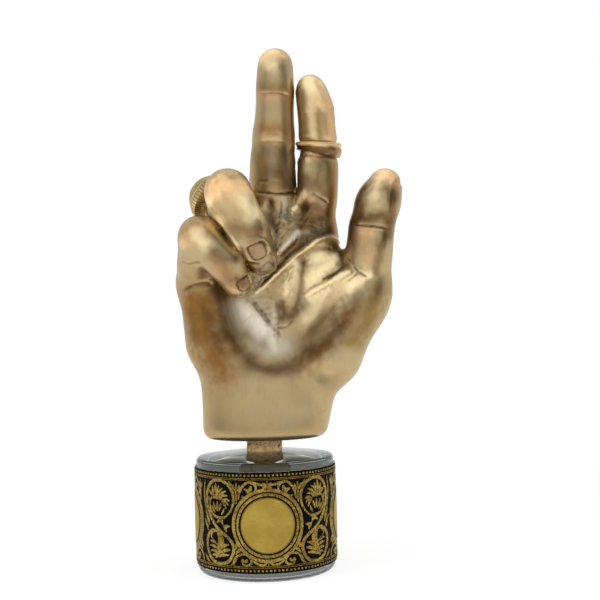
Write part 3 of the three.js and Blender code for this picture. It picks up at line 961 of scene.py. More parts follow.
# Patina and painted light: tones, and strokes of them along picture places: tone, strength, width in pixels,
# path
patinaShadeAndHighlightTones = {
    "gold": (192, 169, 125),
    "cream": (246, 226, 176),
    "light": (253, 230, 180),
    "brown": (122, 90, 54),
    "umber": (88, 56, 20),
    "olive": (140, 114, 64),
    "amber": (160, 112, 48),
    "sienna": (128, 88, 38),
    "peach": (228, 182, 134),
    "blush": (255, 208, 152),
    "silver": (244, 237, 218),
    "grey": (172, 165, 144),
    "slate": (84, 77, 58),
    "dark": (58, 46, 30),
    "nail": (136, 104, 78),
}
paintStrokeEdge = {
    "waves": 30,
    "length": (2.5, 12.0),  # of a wave, in millimetres
    "stray": 0.13,  # of a stroke's width
    "most": 2.2,  # pixels
    "power": 2.0,
}
patinaWashes = {
    "hollow": 0.7,  # strength
    "hollowDepth": (0.01, 0.05),
    "hollowPasses": 4,
    "nail": 0.5,
    "crease": 0.6,
    "creaseDepth": (0.2, 0.9),
}
# The dark strokes paint shade, shadows and dark reflections together with brown patina; the cream, light,
# silver, blush and peach strokes paint highlights and pale reflections, the silver partly pale wear of the
# gilding
patinaShadeAndHighlightStrokes = {
    "heelAmber": ("sienna", 0.95, 21, [(196, 302), (202, 320), (208, 340), (214, 356), (219, 368)]),
    "heelBright": ("amber", 0.6, 5, [(193, 306), (199, 326), (206, 346)]),
    "heelBrown": ("umber", 0.55, 6, [(204, 302), (210, 320), (216, 338), (222, 352)]),
    "heelStreak": ("umber", 0.75, 7, [(219, 300), (223, 318), (228, 336), (238, 351)]),
    "heelRidge": ("amber", 0.5, 4, [(204, 297), (217, 315), (231, 325)]),
    "heelDark": ("umber", 0.85, 6, [(212, 290), (221, 298), (228, 307)]),
    "hollowLeft": ("umber", 0.65, 8, [(222, 312), (228, 330), (236, 346), (250, 360)]),
    "hollowFoot": ("umber", 0.65, 7, [(250, 361), (264, 368), (280, 370), (298, 362)]),
    "hollowRight": ("brown", 0.85, 12, [(296, 366), (314, 352), (331, 338), (346, 320), (357, 302)]),
    "hollowDeep": ("umber", 0.75, 7, [(312, 354), (326, 343), (339, 329), (349, 313)]),
    "hollowTop": ("umber", 0.55, 7, [(346, 318), (353, 305), (358, 294)]),
    "palmSilver": ("silver", 0.75, 10, [(239, 304), (247, 312), (256, 322), (264, 331)]),
    "palmSilverLow": ("grey", 0.6, 9, [(262, 345), (274, 349), (287, 344)]),
    "palmPale": ("silver", 0.4, 12, [(246, 318), (258, 332), (270, 343), (280, 345)]),
    "silverShade": ("slate", 0.4, 6, [(246, 334), (256, 341), (264, 345)]),
    "palmGrey": ("grey", 0.8, 5, [(257, 300), (265, 310), (271, 320)]),
    "centreLight": ("silver", 0.35, 4, [(276, 303), (275.5, 315), (274.5, 328), (275, 348)]),
    "centreDark": ("umber", 0.95, 6, [(304, 301), (298, 309), (291, 316)]),
    "centreDarkLeft": ("umber", 0.8, 4.5, [(281, 302), (283, 311), (281, 318)]),
    "tipGrey": ("grey", 0.8, 7, [(256, 287), (266, 277), (276, 265), (284, 254)]),
    "slantSilver": ("silver", 0.55, 3.6, [(299, 230), (291, 239), (284, 247), (277, 257)]),
    "keelCream": ("light", 0.9, 6, [(294, 262), (292, 276), (286, 291)]),
    "thenarCream": ("light", 0.95, 9, [(312, 258), (325, 257), (334, 262), (320, 270), (308, 280)]),
    "foldCream": ("light", 0.95, 11, [(312, 293), (330, 289), (350, 284), (366, 280)]),
    "thenarEdge": ("olive", 0.95, 11, [(375, 292), (373, 306), (366, 322), (355, 340)]),
    "foldLine": ("light", 0.9, 2.2, [(309, 296), (322, 288), (336, 280), (348, 272)]),
    "thenarLow": ("cream", 0.6, 12, [(306, 318), (322, 306), (338, 296)]),
    "webShade": ("slate", 0.9, 5, [(278, 266), (290, 254), (300, 244), (311, 236), (322, 231)]),
    "webOlive": ("olive", 0.6, 3, [(303, 258), (312, 251), (322, 248.5)]),
    "webPatch": ("umber", 0.85, 4.6, [(337, 249), (341, 256), (343, 263)]),
    "keelOlive": ("umber", 0.65, 3, [(302, 259), (302, 272), (301, 285), (299, 297), (294, 308)]),
    "slitSlate": ("slate", 0.85, 3, [(345, 267), (338, 272), (329, 277)]),
    "webLight": ("light", 0.95, 2.2, [(256, 293), (270, 280.4), (281.5, 269), (290.9, 259.7), (300.3, 252.3),
                                      (310.3, 244.9), (319, 239), (326.4, 237.2), (333, 238.9), (339, 244)]),
    "underIndex": ("brown", 0.95, 11, [(309, 208), (321, 212), (312, 222)]),
    "underIndexPit": ("slate", 0.85, 6, [(313, 230), (322, 233), (329, 231)]),
    "underIndexDark": ("umber", 0.7, 5, [(305, 207), (304, 217), (302, 226)]),
    "slantBlack": ("slate", 0.9, 4, [(303, 236), (298, 243), (292, 250)]),
    "underIndexEdge": ("amber", 0.6, 4, [(331, 192), (333, 212), (334, 232)]),
    "underMiddleDark": ("umber", 0.85, 5, [(271, 204), (271.4, 213), (274, 222)]),
    "underMiddleGrey": ("slate", 0.65, 5, [(276, 229), (277, 238), (275, 247)]),
    "tendonLight": ("light", 0.9, 2.8, [(305, 191), (301.5, 198), (297.5, 205), (292, 211)]),
    "tendonGrey": ("grey", 0.8, 4, [(288, 199), (286.6, 207), (283, 216)]),
    "tendonRoot": ("peach", 0.6, 4, [(306, 194), (310, 199)]),
    "middleBandA": ("sienna", 0.55, 6, [(262, 88), (274, 88), (286, 89)]),
    "middleBandB": ("peach", 0.65, 5, [(263, 96), (274, 96), (286, 97)]),
    "middleBandC": ("amber", 0.8, 6, [(264, 128.5), (273, 128.5), (284, 129.5)]),
    "middleBandD": ("blush", 0.6, 5, [(263, 140), (273, 140), (284, 141)]),
    "middleLower": ("olive", 0.8, 9, [(262, 154), (262, 170), (262, 186)]),
    "middleLowerRight": ("umber", 0.75, 8, [(282, 152), (282, 170), (285, 186)]),
    "middleLowFront": ("brown", 0.45, 10, [(270, 152), (270, 168), (270, 180)]),
    "middleLowLight": ("grey", 0.4, 4, [(272, 150), (272, 165), (271, 178)]),
    "middleLowDark": ("umber", 0.55, 6, [(267, 172), (280, 173)]),
    "middleRight": ("olive", 0.6, 2.6, [(281, 66), (283, 108), (284, 146)]),
    "middleRim": ("peach", 0.6, 3, [(288, 80), (290, 115), (291, 150)]),
    "middleTip": ("light", 0.65, 10, [(272, 54), (267, 59), (273, 66)]),
    "middleCrown": ("blush", 0.6, 5, [(262, 56), (272, 51.5), (283, 56)]),
    "indexCrown": ("blush", 0.5, 5, [(304, 82), (312, 77.5), (321, 84)]),
    "indexFront": ("light", 0.55, 6, [(309, 88), (311, 108), (313, 134)]),
    "indexLeft": ("olive", 0.65, 4, [(301, 96), (303, 116), (304.6, 138)]),
    "indexStreak": ("olive", 0.7, 2.6, [(317, 92), (318, 106), (319, 122), (320, 138)]),
    "indexSide": ("peach", 0.5, 5, [(324, 92), (331, 106), (334, 134)]),
    "indexTip": ("light", 0.85, 8, [(309, 82), (317, 91), (321, 103)]),
    "indexRim": ("blush", 0.65, 5.5, [(325, 104), (328, 120), (330, 138)]),
    "indexUnderRing": ("blush", 0.65, 5, [(308, 157), (316, 157)]),
    "indexLowLeft": ("umber", 0.65, 3.4, [(300, 152), (301, 170), (301, 188)]),
    "indexLowFront": ("cream", 0.4, 4, [(307, 160), (306, 170)]),
    "indexLowDark": ("brown", 0.6, 5, [(308, 178), (311, 188)]),
    "indexLowPatch": ("slate", 0.65, 5, [(320, 164), (319, 174), (316, 184)]),
    "indexLowRoot": ("brown", 0.7, 4, [(318, 186), (324, 194)]),
    "indexLowRight": ("olive", 0.8, 5, [(328, 163), (327, 176), (321, 187)]),
    "indexLowEdge": ("amber", 0.6, 3, [(334, 165), (335, 180), (334, 196)]),
    "ringKnuckle": ("blush", 0.9, 13, [(213, 193), (224, 184), (236, 187)]),
    "ringLeft": ("brown", 0.4, 4, [(215, 206), (222, 216), (229, 228), (236, 238)]),
    "ringToLittle": ("light", 0.8, 1.6, [(214, 217), (223, 227), (232, 239), (240, 250)]),
    "ringSide": ("light", 0.85, 6, [(205, 203), (211, 213), (218, 223)]),
    "ringFront": ("cream", 0.75, 8, [(243, 198), (249, 208), (254, 216)]),
    "ringOlive": ("brown", 0.75, 8, [(236, 227), (246, 231), (256, 235)]),
    "ringShade": ("umber", 0.5, 4, [(255, 226), (258, 234)]),
    "ringTip": ("amber", 0.5, 5, [(252, 268), (262, 270)]),
    "littleKnuckle": ("blush", 0.6, 8, [(184, 240), (192, 230), (200, 226)]),
    "littleFront": ("light", 0.65, 7, [(198, 236), (206, 244)]),
    "littleShade": ("brown", 0.6, 5, [(214, 252), (224, 257), (235, 258)]),
    "littleTip": ("peach", 0.6, 8, [(218, 266), (226, 277), (234, 288)]),
    "littleLow": ("brown", 0.65, 9, [(216, 258), (224, 268), (231, 279)]),
    "littleNail": ("umber", 0.8, 4.5, [(238, 279), (243, 284)]),
    "thumbEdge": ("umber", 0.85, 5.5, [(364, 181), (355, 202), (350, 222), (349, 244)]),
    "thumbTipShade": ("brown", 0.3, 4, [(370, 181), (364, 193), (360, 206)]),
    "thumbShade": ("umber", 0.85, 7.5, [(354, 221), (364, 218), (378, 216), (389, 220)]),
    "thumbLine": ("umber", 0.95, 2.8, [(397, 181), (392, 190), (391, 206), (389, 221)]),
    "thumbSide": ("umber", 0.7, 4, [(388, 231), (381, 243), (378, 258), (376, 273)]),
    "thumbPad": ("light", 0.6, 8, [(380, 176), (377, 186), (375, 197)]),
    "thumbFar": ("brown", 0.85, 4.5, [(395, 190), (393, 206), (391, 222), (390, 236)]),
    "thumbRoot": ("light", 0.25, 7, [(320, 378), (326, 374)]),
    "wristThumbSide": ("olive", 0.3, 12, [(302, 384), (330, 386)]),
    "thumbTip": ("blush", 0.75, 7, [(382, 173), (390, 175), (394, 181)]),
    "thumbFootTop": ("blush", 0.5, 4, [(362, 232), (372, 233)]),
    "thumbFoot": ("peach", 0.45, 8, [(362, 236), (368, 248), (370, 262)]),
    "wristGreen": ("olive", 0.3, 10, [(214, 428), (264, 434), (318, 428)]),
}


def paintSkin(skin, mask, places, creases, plates):
    colour = np.tile(np.array(tone(*patinaShadeAndHighlightTones["gold"])[:3]), (skin.count, 1))

    def lay(name, share):
        colour[:] += (np.array(tone(*patinaShadeAndHighlightTones[name])[:3]) - colour) * share[:, None]

    wander = np.stack([waveField(skin.points, paintStrokeEdge["waves"], paintStrokeEdge["length"]) for _ in range(2)],
                      axis=1)
    # the strokes lay patina with painted shade, shadows, highlights and reflections on the skin that the
    # camera sees
    for name, strength, width, path in patinaShadeAndHighlightStrokes.values():
        stray = min(paintStrokeEdge["stray"] * width, paintStrokeEdge["most"])
        gap, _, _ = measurePath(places + stray * wander, path)
        lay(name, strength * np.exp(-(gap / width) ** paintStrokeEdge["power"]) * mask)
    washes = patinaWashes
    depth = skin.blurred(skin.hollow(), washes["hollowPasses"])
    lay("brown", washes["hollow"] * smoothStep(*washes["hollowDepth"], depth))
    lay("nail", washes["nail"] * plates)
    lay("dark", washes["crease"] * smoothStep(*washes["creaseDepth"], creases))
    storeColours(skin.thing, "paint", colour)


def goldCasting():
    material, wire, place = newMaterial("patinaAndPaintedLightGold")
    # paint of the skin and the index ring: patina with painted shade, shadows, highlights and reflections
    paint = wire.stored("paint", out=0)
    cloud = place.noise(scale=24.0, detail=4.0)
    mottle = place.noise(scale=70.0, detail=5.0, Roughness=0.6)
    fleck = place.noise(scale=130.0, detail=4.0)
    grain = place.noise(scale=1500.0, detail=2.0)
    brush = place.stretched(1400, 1400, 90).noise(scale=1.0, detail=2.0)
    colour = paint
    for share, name in (
        (cloud.clamped(0.5, 0.72) * 0.28, "amber"),
        (mottle.clamped(0.5, 0.7) * 0.16, "grey"),
        ((1 - mottle.clamped(0.3, 0.46)) * 0.22, "olive"),
        (fleck.clamped(0.5, 0.8) * 0.16, "peach"),
        (brush.clamped(0.5, 0.8) * 0.12, "brown"),
    ):
        colour = share.mix(colour, tone(*patinaShadeAndHighlightTones[name]))
    green, blue = (wire.node("ShaderNodeSeparateColor", {0: paint}, out=part) for part in (1, 2))
    paleWarmPaint = (green - blue).clamped(0.21, 0.33)  # where the paint is pale and warm, mostly painted highlights; less metal there, so they take the lamps' light and show brighter
    wire.feed(Base_Color=colour, Roughness=0.26 + 0.1 * fleck + 0.05 * brush, Metallic=0.92 - 0.4 * paleWarmPaint,
              Normal=(grain + brush).bump(strength=0.12, distance=0.0003))
    return material


def makeHand():
    skin = makeHandSkin()
    sight = skin.seen()
    picture = toPhoto(skin.world())
    pixelSize = (skin.points[:, 1] * mm - photoView["place"][1]) / photoView["focal"] / mm
    crumpleSkin(skin, sight, picture)
    creases = carveLines(skin, sight, picture, pixelSize)
    plates, grooves = carveNails(skin)
    creases = np.maximum.reduce([creases, grooves, carveBack(skin)])
    paintSkin(skin, skin.blurred(sight, handSkin["sightPasses"]), picture, creases, plates)
    share = handSkin["triangles"] / (2 * len(skin.thing.data.polygons))
    applyModifier(skin.thing, "DECIMATE", ratio=min(share, 1.0))
    finishPiece(skin.thing, "handSurface", patinaAndPaintedLightGold, "hand", "gold_casting", "hand_casting")


# Turned pieces: a profile of (radius, height) in millimetres, spun about Z
def roundCorner(radiusAt, heightAt, radius, start, end, steps=6):
    turns = np.radians(np.linspace(start, end, steps + 1))
    return [(radiusAt + radius * math.cos(turn), heightAt + radius * math.sin(turn)) for turn in turns]


def spinProfile(name, profile, steps, closed=False, sweep=360):
    mesh = bpy.data.meshes.new(name)
    edges = [(i, i + 1) for i in range(len(profile) - 1)]
    if closed:
        edges.append((len(profile) - 1, 0))
    mesh.from_pydata([(radius * mm, 0, height * mm) for radius, height in profile], edges, [])
    thing = newObject(name, mesh)
    startEdit(thing)
    bpy.ops.mesh.spin(steps=steps, angle=math.radians(sweep), center=(0, 0, 0), axis=(0, 0, 1))
    bpy.ops.mesh.select_all(action="SELECT")
    bpy.ops.mesh.remove_doubles(threshold=weld)
    if sweep < 360:
        bpy.ops.mesh.select_all(action="DESELECT")
        bpy.ops.mesh.select_non_manifold()
        bpy.ops.mesh.fill_holes(sides=0)
        bpy.ops.mesh.select_all(action="SELECT")
    bpy.ops.mesh.normals_make_consistent(inside=False)
    bpy.ops.object.mode_set(mode="OBJECT")
    return thing


# Glass bottle: heavy floor, low cone to the mouth, bore for the cork
bottle = {
    "rimDrop": 2.9,  # from the mouth down to the rim
    "footRound": 3.6,
    "rimRound": 2.0,
    "lipRound": 0.8,
    "slope": 8,  # degrees of the shoulder
    "wall": 4.2,
    "floor": 9.0,
    "cavityTop": 47.5,
    "cavityRound": 5.0,
    "touch": 0.02,  # the cork presses into the bore by this much
    "sides": 144,
    "tint": ((212, 224, 217), (230, 239, 234)),
    "bend": 1.5,  # index of refraction
}


def greenishGlass():
    material, wire, place = newMaterial("greenishGlass")
    cloud = place.noise(scale=45.0, detail=2.0)
    smear = place.noise(scale=160.0, detail=3.0)
    tint = cloud.clamped(0.35, 0.65).mix(*tones(bottle["tint"]))
    wire.feed(Base_Color=tint, Roughness=0.012 + 0.03 * smear.clamped(0.5, 0.8),
              Normal=cloud.bump(strength=0.08, distance=0.0006))
    wire.feed(Transmission_Weight=1.0, IOR=bottle["bend"])
    return material


def makeBottle():
    _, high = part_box("glass_bottle")
    radius, mouth = high.x / mm, high.z / mm
    low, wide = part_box("cork_stopper")
    bore = wide.x / mm - bottle["touch"]
    rise = (bottle["cavityTop"] - low.z / mm - cork["chamfer"]) / (cork["inGlass"] - cork["chamfer"])
    hollow = radius - bottle["wall"] - bottle["cavityRound"]
    upright = 90 - bottle["slope"]
    rim = mouth - bottle["rimDrop"] - bottle["rimRound"]
    profile = [
        (0, 0),
        *roundCorner(radius - bottle["footRound"], bottle["footRound"], bottle["footRound"], -90, 0, 9),
        *roundCorner(radius - bottle["rimRound"], rim, bottle["rimRound"], 0, upright, 9),
        *roundCorner(bore + bottle["lipRound"], mouth - bottle["lipRound"], bottle["lipRound"], upright, 180),
        (bore - cork["taper"] * (1 - rise), bottle["cavityTop"]),
        *roundCorner(hollow, bottle["cavityTop"] - bottle["cavityRound"], bottle["cavityRound"], 90, 0, 8),
        *roundCorner(hollow, bottle["floor"] + bottle["cavityRound"], bottle["cavityRound"], 0, -90, 8),
        (0, bottle["floor"]),
    ]
    thing = spinProfile("glassBottle", profile, bottle["sides"])
    finishPiece(thing, "glassBottle", greenishGlass(), "bottle", "clear_glass", "glass_bottle")


# Cork with its screw hole; pits are pressed into its side
cork = {
    "taper": 0.5,
    "chamfer": 1.0,
    "inGlass": 16.0,
    "screwInCork": 14.0,
    "screwHole": 3.3,
    "screwGap": 0.3,
    "rows": 70,
    "rowStep": 3,  # every third row in the glass
    "sides": 180,
    "pits": 90,
    "pitFoot": 0.6,  # over the bottle's mouth
    "pitWidth": (0.2, 0.75),
    "pitDepth": (0.12, 0.5),
    "pitLength": (1, 2.6),  # of its width
    "skin": 0.1,  # points this far inside are still its side
    "tones": ((160, 114, 66), (214, 170, 112), (238, 201, 144)),
    "pitTone": (70, 44, 24),
    "glassShade": (50, 40, 28),  # painted shade on the part in the glass
    "glassShadeShare": 0.85,
    "unshaded": (-2.0, -0.3),  # about the mouth, where the painted shade ends
}


def pittedCork():
    material, wire, place = newMaterial("pittedCork")
    cells = wire.node("ShaderNodeTexVoronoi", {"Vector": place, "Scale": 900.0}, out=1)
    grain = wire.node("ShaderNodeSeparateColor", {0: cells})
    cloud = place.noise(scale=420.0, detail=4.0)
    dark, plain, pale = tones(cork["tones"])
    colour = cloud.clamped(0.42, 0.62).mix(plain, pale)
    colour = (grain.clamped(0.72, 0.95) * 0.55).mix(colour, dark)
    colour = wire.stored("pit").clamped(0.1, 0.7).mix(colour, tone(*cork["pitTone"]))
    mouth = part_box("cork_stopper")[0].z + cork["inGlass"] * mm
    unshaded = place.axis(2).clamped(*(mouth + shift * mm for shift in cork["unshaded"]))
    # painted shade: the cork darkens inside the glass
    colour = (cork["glassShadeShare"] - cork["glassShadeShare"] * unshaded).mix(colour, tone(*cork["glassShade"]))
    wire.feed(Base_Color=colour, Roughness=0.78 + 0.15 * cloud,
              Normal=(grain + cloud).bump(strength=0.5, distance=0.0003))
    return material


def makeCork():
    low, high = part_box("cork_stopper")
    radius, bottom, top = high.x / mm, low.z / mm, high.z / mm
    mouth = bottom + cork["inGlass"]
    inner = radius - cork["taper"]
    rows = np.linspace(0, 1, cork["rows"])
    profile = [(0, bottom), (inner - cork["chamfer"], bottom)]
    profile += [(inner + (radius - inner) * share, bottom + cork["chamfer"] + share
                 * (mouth - bottom - cork["chamfer"])) for share in rows[::cork["rowStep"]]]
    profile += [(radius, mouth + share * (top - mouth)) for share in rows[1:]]
    holeFloor = top - cork["screwInCork"] - cork["screwGap"]
    profile += [(cork["screwHole"], top), (cork["screwHole"], holeFloor), (0, holeFloor)]
    thing = spinProfile("corkStopper", profile, cork["sides"])
    points = pointsOf(thing)
    reach, angle = polar(points)
    depth = np.zeros(len(points))
    for _ in range(cork["pits"]):
        turn, height = dice.uniform(-math.pi, math.pi), dice.uniform(mouth + cork["pitFoot"], top)
        width, sink = dice.uniform(*cork["pitWidth"]), dice.uniform(*cork["pitDepth"])
        across = radius * np.angle(np.exp(1j * (angle - turn))) / dice.uniform(*cork["pitLength"])
        depth = np.maximum(depth, sink * np.exp(-(across ** 2 + (points[:, 2] - height) ** 2) / width ** 2))
    depth = np.where(reach > inner - cork["skin"], depth, 0)
    storeValues(thing, "pit", depth / cork["pitDepth"][1])
    points[:, :2] *= (1 - depth / radius)[:, None]
    movePoints(thing, points)
    finishPiece(thing, "corkStopper", pittedCork(), "stopper", "cork", "cork_stopper")


# Ornament band: everything on it is drawn flat, s along the band and z up in millimetres, then wrapped
band = {
    "turn": 3,  # degrees, from the front to the first roundel
    "thickness": 0.4,
    "relief": 0.4,
    "seam": 0.6,
    "seamAngle": 135,
    "borderLines": (2.9, 3.6),  # from the edges of the band
    "lineWidth": 0.45,
    # section of a line: height over the ground, and place in half widths
    "lineSection": ((-0.1, -1), (0.25, -0.8), (0.4, 0), (0.25, 0.8), (-0.1, 1)),
    "beads": 113,
    "beadRadius": 0.62,
    "beadSides": (8, 5),
    "beadInset": 1.5,  # from the edges of the band to the beads
    "frames": ((15.3, 0.75), (17.5, 0.95)),  # radius and half width of the raised rings
    "frameSides": (120, 12),
    "strokeScale": 1.32,
    "strokeSides": 2,
    "strokeSteps": 4,
    "leafScale": 1.3,
    "leafTip": 0.25,  # of a leaf's width
    "leafLean": 0.75,
    "tailThin": 0.7,
    "stemEnd": (0.5, 0.1),  # of a stem's width, and of its path
    "sides": 180,
    "gold": ((140, 114, 46), (182, 153, 72), (210, 182, 104)),
    "goldFoot": (0.02, 0.22),  # over the ground, where the dark outline ends
    "cuts": (0.35, 0.85),  # share of the gold that fine dark cuts take, and their strength
    "ground": ((4, 4, 3), (40, 31, 12)),
    "bare": (238, 236, 228),  # the metal of its inner side
    "bareDepth": (-0.3, -0.1),  # under the ground
    "outline": (26, 20, 10),
}

# One corner between two roundels: width in millimetres, shape, path from the corner's upright line
cornerScroll = {
    "greatScroll": (1.45, "stem", [
        (6.3, 32.3), (9.7, 36.0), (11.2, 40.4), (10.8, 44.7), (8.6, 48.2), (5.3, 50.2), (1.8, 50.6),
        (-2.1, 49.4), (-5.0, 46.4), (-6.4, 41.8), (-5.9, 37.2), (-3.7, 32.4), (-0.3, 28.1), (3.4, 25.0),
        (7.2, 22.7), (9.8, 20.1), (10.8, 17.2), (10.1, 13.8), (8.1, 10.9), (4.5, 9.2), (0.1, 9.3),
        (-3.6, 11.1), (-5.8, 14.3), (-6.7, 18.2), (-6.0, 21.8), (-3.8, 24.4), (-1.1, 25.4), (1.3, 24.7),
        (2.7, 22.8), (3.0, 20.0)]),
    "innerCurl": (1.2, "tail", [(6.3, 32.3), (3.6, 31.9), (-0.2, 32.5), (-2.6, 34.7), (-3.8, 37.7),
                                (-3.2, 40.6), (-0.7, 42.4), (1.9, 42.3), (4.7, 41.1)]),
    "curlHead": (2.0, "leaf", [(-1.6, 41.6), (1.0, 42.3), (3.0, 42.0), (4.9, 40.9)]),
    "lobeA": (1.2, "leaf", [(-1.8, 47.4), (-1.3, 44.8), (-0.3, 42.6)]),
    "lobeB": (1.2, "leaf", [(2.8, 47.9), (1.8, 45.7), (0.6, 43.3)]),
    "lobeC": (1.2, "leaf", [(5.2, 46.8), (2.8, 45.2), (1.3, 43.0)]),
    "lobeD": (1.2, "leaf", [(7.1, 45.4), (4.8, 44.4), (2.3, 42.8)]),
    "lobeE": (1.1, "leaf", [(8.0, 43.1), (5.5, 43.0), (3.5, 41.9)]),
    "lobeF": (1.1, "leaf", [(9.0, 40.6), (7.0, 41.2), (4.9, 41.0)]),
    "lobeG": (1.0, "leaf", [(8.5, 38.4), (6.9, 39.9), (4.7, 40.6)]),
    "lobeH": (1.0, "leaf", [(7.0, 36.4), (6.1, 38.6), (4.3, 40.2)]),
    "budA": (1.0, "leaf", [(-1.3, 39.4), (-0.2, 36.8), (0.9, 35.2)]),
    "budB": (1.1, "leaf", [(1.5, 39.9), (1.4, 37.4), (1.6, 35.0)]),
    "budC": (1.0, "leaf", [(3.9, 39.2), (3.2, 37.2), (2.4, 35.2)]),
    "budD": (0.9, "leaf", [(5.8, 36.8), (5.0, 34.9), (4.0, 33.3)]),
    "budE": (0.9, "leaf", [(-2.4, 37.6), (-1.3, 35.8), (-0.1, 34.2)]),
    "lobeI": (1.2, "leaf", [(-4.4, 45.2), (-2.8, 43.8), (-1.2, 42.2)]),
    "lobeJ": (1.0, "leaf", [(-5.1, 42.0), (-4.3, 40.6), (-3.5, 39.2)]),
    "lobeK": (1.0, "leaf", [(-4.7, 36.2), (-3.7, 35.0), (-2.4, 34.0)]),
    "lobeL": (1.1, "leaf", [(0.6, 49.0), (0.4, 46.6), (0.1, 44.2)]),
    "leafSpine": (2.5, "leaf", [(1.3, 24.6), (3.1, 21.9), (2.8, 18.4), (1.4, 15.2), (-0.2, 11.6)]),
    "leafHook": (1.0, "tail", [(-0.9, 25.0), (-3.1, 23.4), (-3.4, 21.8), (-2.3, 20.9)]),
    "leafA": (1.2, "leaf", [(-4.1, 19.8), (-1.5, 19.7), (1.2, 18.2)]),
    "leafB": (1.2, "leaf", [(-4.2, 17.5), (-1.6, 17.5), (1.1, 16.3)]),
    "leafC": (1.2, "leaf", [(-3.8, 15.1), (-1.2, 15.2), (0.8, 14.1)]),
    "leafD": (1.1, "leaf", [(-2.8, 12.8), (-0.9, 13.1), (0.3, 12.3)]),
    "leafE": (1.4, "leaf", [(8.0, 19.0), (5.1, 18.1), (1.7, 15.2)]),
    "leafF": (1.4, "leaf", [(8.8, 16.4), (5.8, 15.9), (0.9, 13.6)]),
    "leafG": (1.3, "leaf", [(8.0, 13.7), (4.6, 13.5), (0.0, 11.9)]),
    "trefoilStem": (0.8, "stem", [(4.9, 31.8), (4.4, 30.7), (4.6, 29.1), (5.2, 28.0)]),
    "trefoilA": (1.3, "leaf", [(1.0, 29.4), (2.9, 30.5), (4.5, 29.3)]),
    "trefoilB": (1.3, "leaf", [(5.0, 28.2), (6.9, 27.8), (9.0, 28.0)]),
    "trefoilC": (1.2, "leaf", [(5.1, 28.3), (6.2, 26.8), (7.0, 25.1)]),
    "shoulderLeaf": (0.9, "leaf", [(12.2, 46.8), (10.2, 48.4), (8.6, 50.4)]),
    "outerStemA": (0.8, "stem", [(-7.6, 49.8), (-8.6, 45.0), (-8.2, 39.5), (-6.9, 34.0)]),
    "outerLeafA": (1.3, "leaf", [(-7.4, 34.6), (-5.8, 31.0), (-4.6, 27.6)]),
    "outerLeafB": (1.2, "leaf", [(-8.6, 30.5), (-6.8, 27.8), (-5.8, 24.6)]),
    "footLeaf": (1.1, "leaf", [(-8.6, 13.0), (-7.2, 10.8), (-5.0, 9.1)]),
    "footLeafB": (1.0, "leaf", [(12.4, 12.4), (11.0, 10.4), (9.2, 8.9)]),
}

# Half of what stands over and under a roundel, from the roundel's upright line; the other half is its mirror
roundelScroll = {
    "stemUp": (1.0, "stem", [(-15.8, 39.3), (-15.6, 42.4), (-15.8, 45.6), (-15.5, 49.6)]),
    "stemLobeA": (1.0, "leaf", [(-15.6, 45.4), (-16.9, 47.0), (-17.2, 48.8)]),
    "stemLobeB": (1.0, "leaf", [(-15.6, 45.4), (-14.3, 46.8), (-14.0, 48.6)]),
    "overScroll": (1.2, "stem", [(-14.6, 41.3), (-13.9, 45.2), (-12.0, 48.3), (-9.3, 50.0), (-6.5, 49.7),
                                 (-3.8, 48.9), (-1.2, 48.3)]),
    "overCurl": (1.1, "tail", [(-8.2, 49.9), (-5.9, 48.4), (-5.6, 46.4), (-7.0, 44.9), (-9.0, 44.2)]),
    "overBud": (1.6, "leaf", [(-7.9, 48.2), (-8.6, 46.4), (-9.9, 44.6)]),
    "overBudSide": (1.2, "leaf", [(-11.6, 46.8), (-10.2, 46.0), (-9.2, 45.0)]),
    "overDot": (0.9, "leaf", [(-13.0, 43.2), (-12.2, 42.8), (-11.4, 42.6)]),
    "crossUp": (1.1, "stem", [(0, 51.2), (0, 48.8), (0, 46.6)]),
    "crossArmA": (1.2, "leaf", [(-2.3, 49.6), (-1.2, 48.7), (0, 48.3)]),
    "crossArmB": (1.2, "leaf", [(-2.2, 46.9), (-1.1, 47.7), (0, 48.3)]),
    "underLeafA": (1.4, "leaf", [(-15.8, 20.0), (-16.5, 17.9), (-17.8, 16.0)]),
    "underLeafB": (1.3, "leaf", [(-12.9, 17.0), (-14.8, 16.3), (-16.6, 14.3)]),
    "underScroll": (1.1, "stem", [(-18.0, 8.9), (-17.4, 11.7), (-15.1, 13.8), (-12.2, 14.6), (-9.6, 13.3),
                                  (-8.4, 11.2), (-9.3, 9.5), (-11.4, 9.1), (-13.2, 9.8)]),
    "underBudA": (1.3, "leaf", [(-13.2, 12.4), (-12.9, 11.1), (-12.9, 9.9)]),
    "underBudB": (1.2, "leaf", [(-10.7, 12.2), (-11.2, 11.2), (-12.0, 10.4)]),
    "underRun": (1.0, "stem", [(-8.6, 13.2), (-6.8, 10.7), (-4.0, 9.4), (-1.8, 9.6), (-0.9, 10.8)]),
    "crossDown": (1.0, "stem", [(0, 10.9), (0, 8.6)]),
}


def strokeWidth(shape, share):
    if shape == "leaf":
        tip = band["leafTip"]
        return tip + (1 - tip) * np.sin(math.pi * np.clip(share, 0.02, 0.98) ** band["leafLean"])
    if shape == "tail":
        return 1 - band["tailThin"] * share ** 2
    end, run = band["stemEnd"]
    return end + (1 - end) * smoothStep(0, run, min(share, 1 - share))


